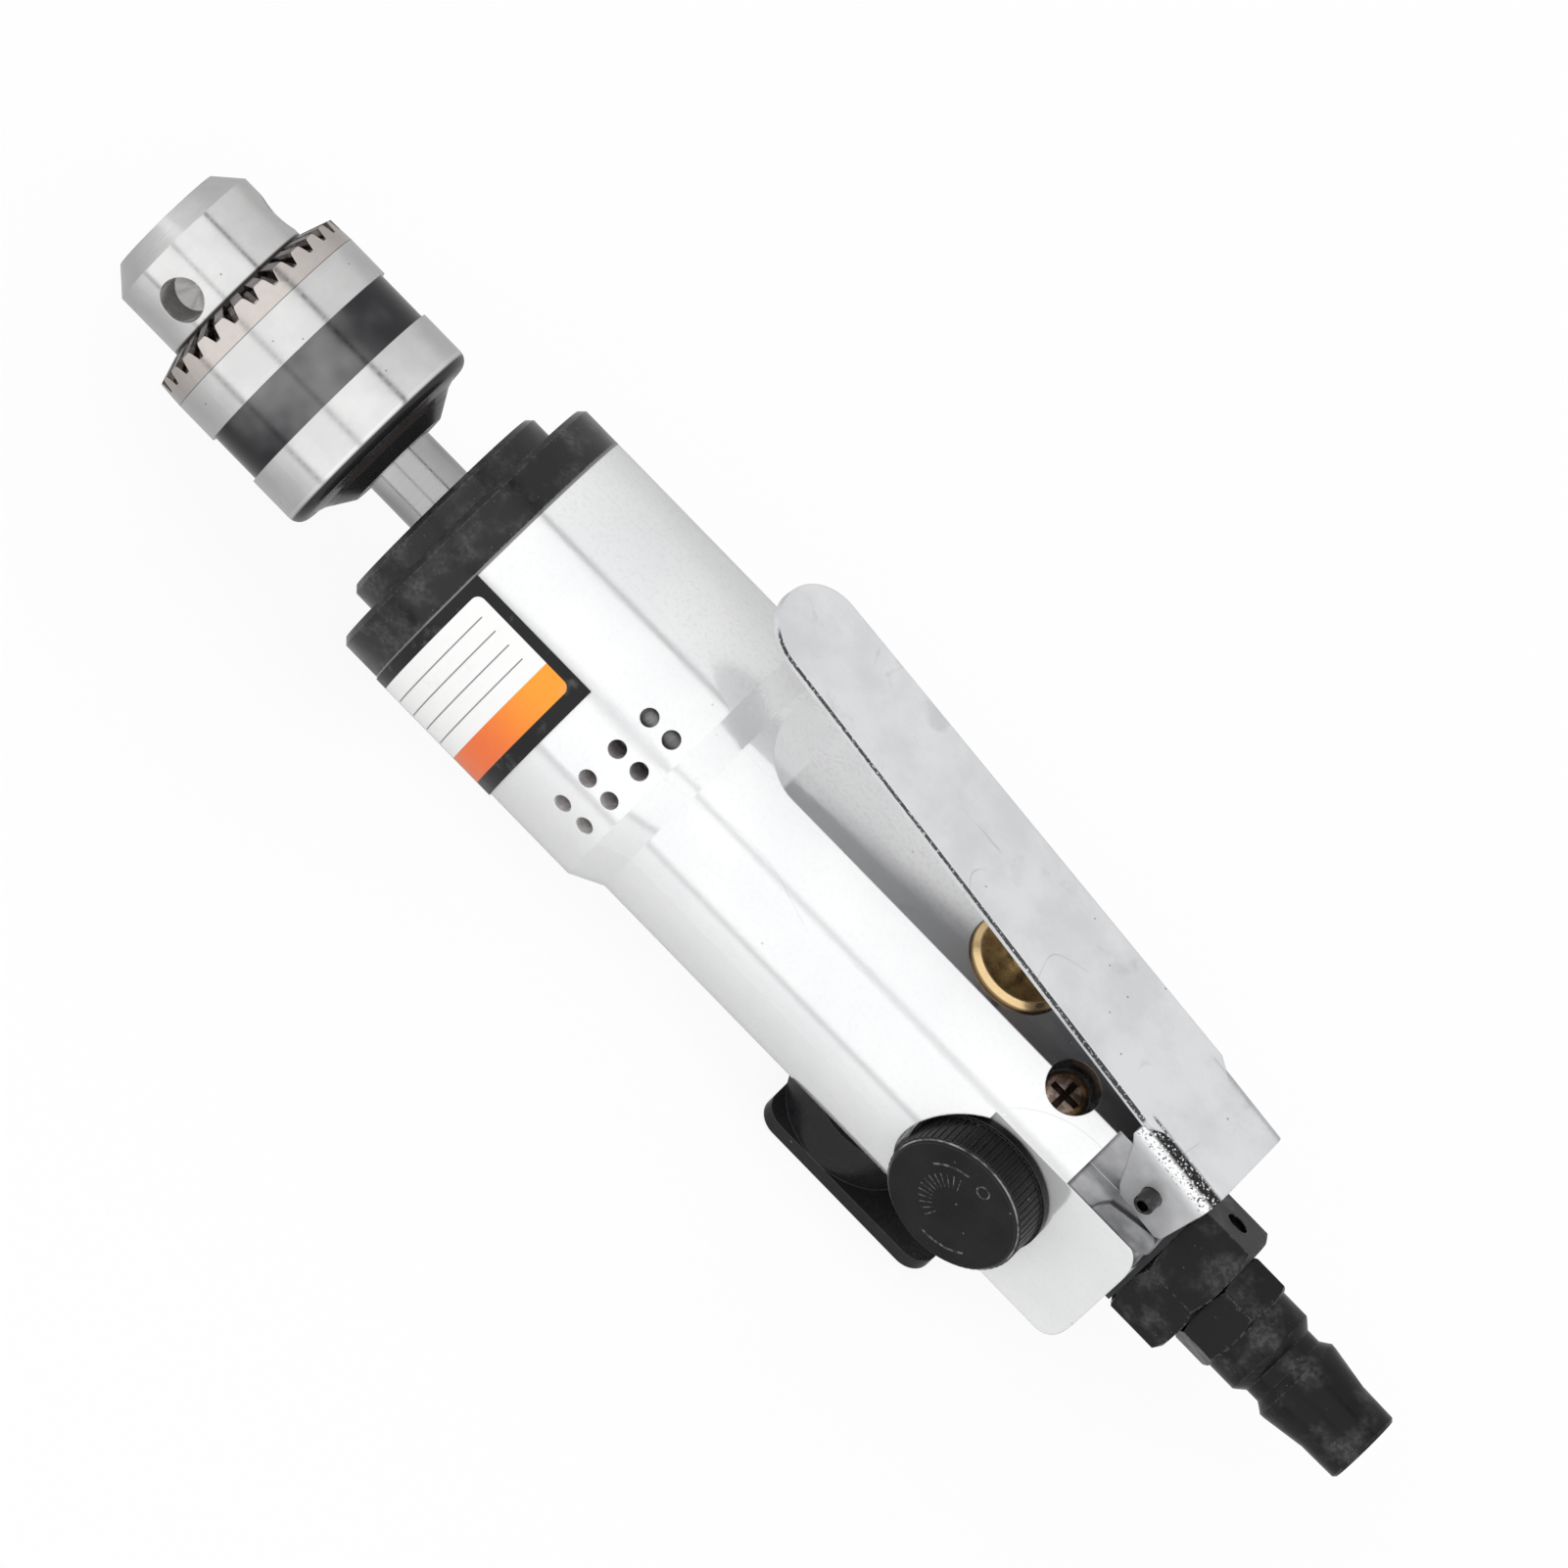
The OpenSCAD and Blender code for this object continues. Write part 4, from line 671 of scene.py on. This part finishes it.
def chuck_steel(name, paint_details):
    """Turned satin steel. The details are painted on it and say where it is black and where it turns matt."""
    shade = (0.71, 0.705, 0.705)
    light = (0.80, 0.797, 0.795)
    pit_colour = (0.2, 0.18, 0.17)
    black_colour = (0.02, 0.02, 0.022)

    s = Surface(name)
    lines = s.noise(size=0.0005, detail=6, stretch=(1, 0.05, 0.05))
    cloud = s.noise(size=0.008, detail=5)
    s.prime(s.ramp(cloud, start=0.35, end=0.7), shade, light)
    s.paint(s.specks(spacing=0.0035, radius=0.06), pit_colour, strength=0.6)
    black, matt = paint_details(s)
    s.paint(black, black_colour)

    roughness = s.add(s.spread(lines, 0.11, 0.19), s.product(black, 0.12))
    height = s.add(lines, s.product(cloud, 0.4))
    return s.finish(roughness, height, depth=0.000015, round_edge=0.0002, metallic=s.minus(1.0, matt))


def tooth_gaps(s, front):
    """1 between the sleeve's teeth: in the notches, on their flanks and on the bevel in front."""
    notch_back = front - 0.0050
    notch_r = 0.0151
    bevel_back = front - 0.0013

    x, y, z = s.axes()
    _, ny, nz = s.facing()
    rho = s.length(y, z)
    notch = s.product(s.ramp(x, notch_back - 0.0004, notch_back), s.fall(rho, notch_r, notch_r + 0.0005))
    bevel = s.ramp(x, bevel_back, bevel_back + 0.00015)
    across = s.math("DIVIDE", s.minus(s.product(y, nz), s.product(z, ny)), rho)
    flank = s.product(s.ramp(s.unsigned(across), start=0.15, end=0.35),
                      s.ramp(x, notch_back - 0.0006, notch_back - 0.0004))
    return s.either(flank, s.either(notch, bevel))


def sleeve_details(s):
    """Pinkish toothed end with painted shade in its oiled gaps and in the groove behind the teeth, a dark
    middle band with a painted sheen, and a black rear edge.
    """
    low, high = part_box("chuck_sleeve")
    ring_back = high.x - 0.0050
    ring_front = high.x - 0.0012
    ring_r = 0.0152
    groove_back = high.x - 0.00508
    groove_front = high.x - 0.00496
    band_back = high.x - 0.0190
    band_front = high.x - 0.0113
    edge_x = low.x + 0.0016
    edge_w = 0.0004
    worn_at = math.radians(42)
    ring_dark = (0.60, 0.55, 0.52)
    ring_light = (0.70, 0.65, 0.62)
    groove_shade_colour = (0.08, 0.07, 0.07)
    gap_shade_colour = (0.04, 0.025, 0.019)
    band_dark = (0.05, 0.05, 0.054)
    band_light = (0.24, 0.24, 0.242)
    edge_colour = grey(0.9)

    x, y, z = s.axes()
    oil_and_shade = s.noise(size=0.0011, detail=4)
    ring = s.product(s.within(x, ring_back, ring_front), s.ramp(s.length(y, z), ring_r, ring_r + 0.0003))
    s.paint(ring, s.mix(oil_and_shade, ring_dark, ring_light))
    # Painted shade in the groove at the back of the teeth
    s.paint(s.within(x, groove_back, groove_front, soft=0.00003), groove_shade_colour, strength=0.75)
    # Painted shade, and oil, between the teeth: in the notches, on their flanks and on the bevel in front
    s.paint(s.product(tooth_gaps(s, high.x), s.spread(oil_and_shade, 0.97, 0.85)), gap_shade_colour)

    # A painted sheen lightens the band on the side facing the camera and the key light, and on the opposite
    # side
    turn = s.math("ARCTAN2", z, y)
    sheen_sides = s.product(s.math("COSINE", s.product(s.minus(turn, worn_at), 2.0)), 0.3)
    glow = s.ramp(s.add(s.noise(size=0.009, detail=2), sheen_sides), start=0.3, end=0.95)
    s.paint(s.within(x, band_back, band_front), s.mix(glow, band_dark, band_light))

    s.paint(s.within(x, edge_x, edge_x + edge_w), edge_colour, strength=0.6)
    black = s.fall(x, edge_x - edge_w, edge_x)
    return black, s.product(black, 0.7)


def body_details(s):
    """Painted shade in the key holes and in a line before the sleeve, and a bright ring and a dark hub behind
    it.
    """
    low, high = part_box("chuck_sleeve")
    _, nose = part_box("chuck_body")
    ring_back = low.x - 0.0009
    hole_back = nose.x - 0.0142
    hole_front = nose.x - 0.0055
    hole_r = 0.0085
    surface_r = 0.0108
    line_x = high.x + 0.0003
    ring_colour = grey(0.95)
    hole_shade_colour = (0.42, 0.405, 0.40)
    line_shade_colour = (0.02, 0.014, 0.012)

    x, y, z = s.axes()
    rear = s.fall(x, low.x, low.x + 0.0002)
    hole = s.product(s.fall(s.length(y, z), hole_r, surface_r, high=0.85),
                     s.within(x, hole_back, hole_front, soft=0.0004))
    s.paint(rear, ring_colour)
    # Painted shade in the key holes, darkest deep inside
    s.paint(hole, hole_shade_colour)
    # Painted shade in the seam between the body and the sleeve's front
    s.paint(s.fall(x, line_x, line_x + 0.0004, high=0.97), line_shade_colour)
    black = s.product(s.fall(x, ring_back - 0.0002, ring_back), 0.92)
    return black, s.add(s.product(hole, 0.4), s.product(rear, 0.95))


# Rating plate

def printed_plate():
    """A blank plate: white field with plain ruled lines and an orange band in a black frame; the orange has a
    painted shade, redder towards the bottom.
    """
    low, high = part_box("rating_plate")
    radius = max(abs(low.z), high.y, abs(high.z))
    top = radius * math.radians(40)
    bottom = radius * math.radians(-42)
    frame_w = 0.0016
    field_start = frame_w + 0.0002
    field_end = 0.0147
    band_end = 0.0192
    corner_r = 0.0012
    soft = 0.00002
    rule_count = 4
    rule_start = 0.0044
    rule_gap = 0.00255
    rule_half_width = 0.0001
    rule_bottom = bottom + 0.0030
    rule_top = top - 0.0035
    ink = (0.006, 0.006, 0.0065)
    paper = (0.90, 0.90, 0.895)
    lit_orange = (0.98, 0.35, 0.03)
    shaded_orange = (0.87, 0.17, 0.04)
    rule_colour = (0.10, 0.10, 0.11)
    scuff_colour = grey(0.5)

    # v goes up along the barrel's curve and u back from the plate's front edge
    s = Surface("printed_plate", specular=0.3, coat=0.08, coat_roughness=0.15)
    x, y, z = s.axes()
    v = s.product(s.math("ARCTAN2", z, y), radius)
    u = s.minus(high.x, x)
    inside = s.within(v, bottom + frame_w, top - frame_w)
    # Painted shade on the orange band, redder towards the bottom
    orange = s.mix(s.fall(v, bottom * 0.2, top * 0.8), lit_orange, shaded_orange)
    s.prime(s.product(inside, s.within(u, field_start, field_end)), ink, paper)
    s.paint(s.product(inside, s.within(u, field_end, band_end)), orange)

    # Round the two upper corners
    for edge_u, inward in ((field_start, 1), (band_end, -1)):
        du = s.minus(u, edge_u + inward * corner_r)
        dv = s.minus(v, top - frame_w - corner_r)
        beyond = s.product(s.ramp(s.product(du, -inward), 0.0, soft), s.ramp(dv, 0.0, soft),
                           s.ramp(s.length(du, dv), corner_r - 2 * soft, corner_r + 2 * soft))
        s.paint(beyond, ink)

    for number in range(rule_count):
        rule_u = rule_start + number * rule_gap
        rule = s.product(s.within(u, rule_u - rule_half_width, rule_u + rule_half_width),
                         s.within(v, rule_bottom, rule_top))
        s.paint(rule, rule_colour, strength=0.85)
    scuff = s.noise(size=0.003, detail=6)
    s.paint(s.ramp(scuff, start=0.58, end=0.75, high=0.12), scuff_colour)
    return s.finish(s.spread(scuff, 0.28, 0.42), scuff, depth=0.00002)


# Which piece gets which material

def dress(material, *names):
    for name in names:
        mesh = NODES[name].data
        mesh.materials.clear()
        mesh.materials.append(material)


def numbered(name, count):
    return [f"{name}_{i + 1}" for i in range(count)]


def dress_all():
    dress(polished_aluminium(), "housing")
    dress(zinc_plate(), "throttle_lever")
    dress(black_oxide("black_oxide_nut", base_grey=0.001, shine=0.17, gloss=0.5), "clamp_nut")
    dress(black_oxide("black_oxide_plug"), "inlet_bushing", "air_plug", "oil_screw", "chuck_screw")
    dress(black_oxide("black_pin", shine=0.2, gloss=0.5), "lever_pin")
    dress(black_enamel("black_enamel", base_grey=0.014), "reverse_lever")
    dress(black_enamel("knob_enamel"), "regulator_knob")
    dress(turned_brass("turned_brass"), "valve_bushing", "reverse_sleeve", "regulator_stem")
    dress(turned_brass("stained_brass", tone=0.8, stains_and_shade=0.7), "keeper_screw")
    dress(bright_steel("shaft_steel", level=0.55, rough=0.12), "spindle")
    dress(bright_steel("bright_steel"), "valve_stem", "reverse_screw", "planet_pins",
          "spindle_bearing", "rotor_bearing_front", "rotor_bearing_rear", "reverse_valve")
    dress(bright_steel("gear_steel", level=0.45, rough=0.32), "ring_gear", "rotor",
          *numbered("planet_gear", 3))
    dress(bright_steel("grey_iron", level=0.36, rough=0.42), "motor_cylinder",
          "front_end_plate", "rear_end_plate")
    dress(bright_steel("jaw_steel", level=0.4, rough=0.34), "jaw_nut", *numbered("jaw", 3))
    dress(bright_steel("wire_steel", level=0.55, rough=0.25), "valve_spring", "inlet_screen")
    dress(plain_dark("vane_resin", (0.10, 0.05, 0.025), rough=0.5), *numbered("vane", 5))
    dress(plain_dark("rubber", (0.015, 0.015, 0.016), rough=0.6), "inlet_washer",
          "valve_seal", "regulator_seal")
    dress(chuck_steel("chuck_sleeve_steel", sleeve_details), "chuck_sleeve")
    dress(chuck_steel("chuck_body_steel", body_details), "chuck_body")
    dress(printed_plate(), "rating_plate")


# Light, floor and camera

def world_light():
    """A pale studio: a wide bright screen above the knob's side, softer light all round, thin dark seams."""
    brightest = 1.3
    world = bpy.data.worlds.new("studio")
    bpy.context.scene.world = world
    world.use_nodes = True
    tree = world.node_tree
    background = tree.nodes["Background"]
    background.inputs["Strength"].default_value = 1.0
    coords = tree.nodes.new("ShaderNodeTexCoord")
    split = tree.nodes.new("ShaderNodeSeparateXYZ")
    turn = tree.nodes.new("ShaderNodeMath")
    turn.operation = "ARCTAN2"
    spread = tree.nodes.new("ShaderNodeMapRange")
    spread.inputs["From Min"].default_value = -math.pi
    spread.inputs["From Max"].default_value = math.pi
    levels = tree.nodes.new("ShaderNodeValToRGB")
    elements = levels.color_ramp.elements
    for number, (degrees, level) in enumerate(STUDIO_LEVELS):
        place = (degrees + 180) / 360
        element = elements[0] if number == 0 else elements.new(place)
        element.position = place
        element.color = (*grey(level / brightest), 1)
    last = max(elements, key=lambda element: element.position)
    last.color = (*grey(STUDIO_LEVELS[0][1] / brightest), 1)
    scale = tree.nodes.new("ShaderNodeVectorMath")
    scale.operation = "SCALE"
    scale.inputs["Scale"].default_value = brightest
    path = tree.nodes.new("ShaderNodeLightPath")
    mix = tree.nodes.new("ShaderNodeMix")
    mix.data_type = "RGBA"
    mix.inputs[7].default_value = (1, 1, 1, 1)
    for source, socket in ((coords.outputs["Generated"], split.inputs[0]),
                           (split.outputs[2], turn.inputs[0]),
                           (split.outputs[1], turn.inputs[1]),
                           (turn.outputs[0], spread.inputs["Value"]),
                           (spread.outputs[0], levels.inputs[0]),
                           (levels.outputs[0], scale.inputs[0]),
                           (path.outputs["Is Camera Ray"], mix.inputs[0]),
                           (scale.outputs[0], mix.inputs[6]),
                           (mix.outputs[2], background.inputs["Color"])):
        tree.links.new(source, socket)


def softbox(name, place, aim, size, power):
    """A square lamp that doesn't show in reflections."""
    light = bpy.data.lights.new(name, "AREA")
    light.shape = "RECTANGLE"
    light.size = size
    light.size_y = size
    light.energy = power
    lamp = bpy.data.objects.new(name, light)
    bpy.context.scene.collection.objects.link(lamp)
    lamp.location = place
    lamp.visible_glossy = False
    lamp.rotation_euler = (Vector(aim) - Vector(place)).to_track_quat("-Z", "Y").to_euler()


def floor():
    """A plain pale floor just under the tool."""
    half = 6.0
    gap = 0.0005
    white_share = 0.9
    low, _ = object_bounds()
    z = low.z - gap
    corners = [(-half, -half, z), (half, -half, z), (half, half, z), (-half, half, z)]
    mesh = bpy.data.meshes.new("floor")
    mesh.from_pydata(corners, [], [(0, 1, 2, 3)])
    made = bpy.data.objects.new("floor", mesh)
    bpy.context.scene.collection.objects.link(made)
    s = Surface("pale_floor", roughness=0.9, specular=0.1)
    s.feed(s.shader.inputs["Base Color"], grey(0.96))
    s.white_to_camera(white_share)
    mesh.materials.append(s.material)
    made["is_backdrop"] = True


def camera():
    """The photograph's view: above the knob's side, with the tool from upper left to lower right."""
    elevation = math.radians(48.1)
    yaw = math.radians(-0.48)
    roll = math.radians(45.36)
    distance = 2.2
    pixels_per_metre = 7686.0
    image_pixels = 1601.0
    right_pixels = 19.5
    up_pixels = 51.7
    middle = Vector((0.114, 0, 0))
    level = math.cos(elevation)
    back = Vector((math.sin(yaw) * level, math.cos(yaw) * level, math.sin(elevation)))
    level_right = Vector((0, 0, 1)).cross(back).normalized()
    level_up = back.cross(level_right)
    right = level_right * math.cos(roll) + level_up * math.sin(roll)
    up = level_up * math.cos(roll) - level_right * math.sin(roll)
    target = middle + right * right_pixels / pixels_per_metre + up * up_pixels / pixels_per_metre
    data = bpy.data.cameras.new("camera")
    data.sensor_width = 36.0
    data.lens = data.sensor_width * pixels_per_metre * distance / image_pixels
    data.clip_start = 0.05
    data.clip_end = 50.0
    made = bpy.data.objects.new("camera", data)
    bpy.context.scene.collection.objects.link(made)
    axes = Matrix((right, up, back)).transposed().to_4x4()
    axes.translation = target + back * distance
    made.matrix_world = axes
    bpy.context.scene.camera = made


def main():
    dress_all()
    world_light()
    softbox("key", place=(0.1, 1.4, 2.2), aim=(0.11, 0, 0), size=1.6, power=9.0)
    floor()
    camera()
    bpy.context.scene.view_settings.view_transform = "Standard"


main()
bpy.context.view_layer.update()
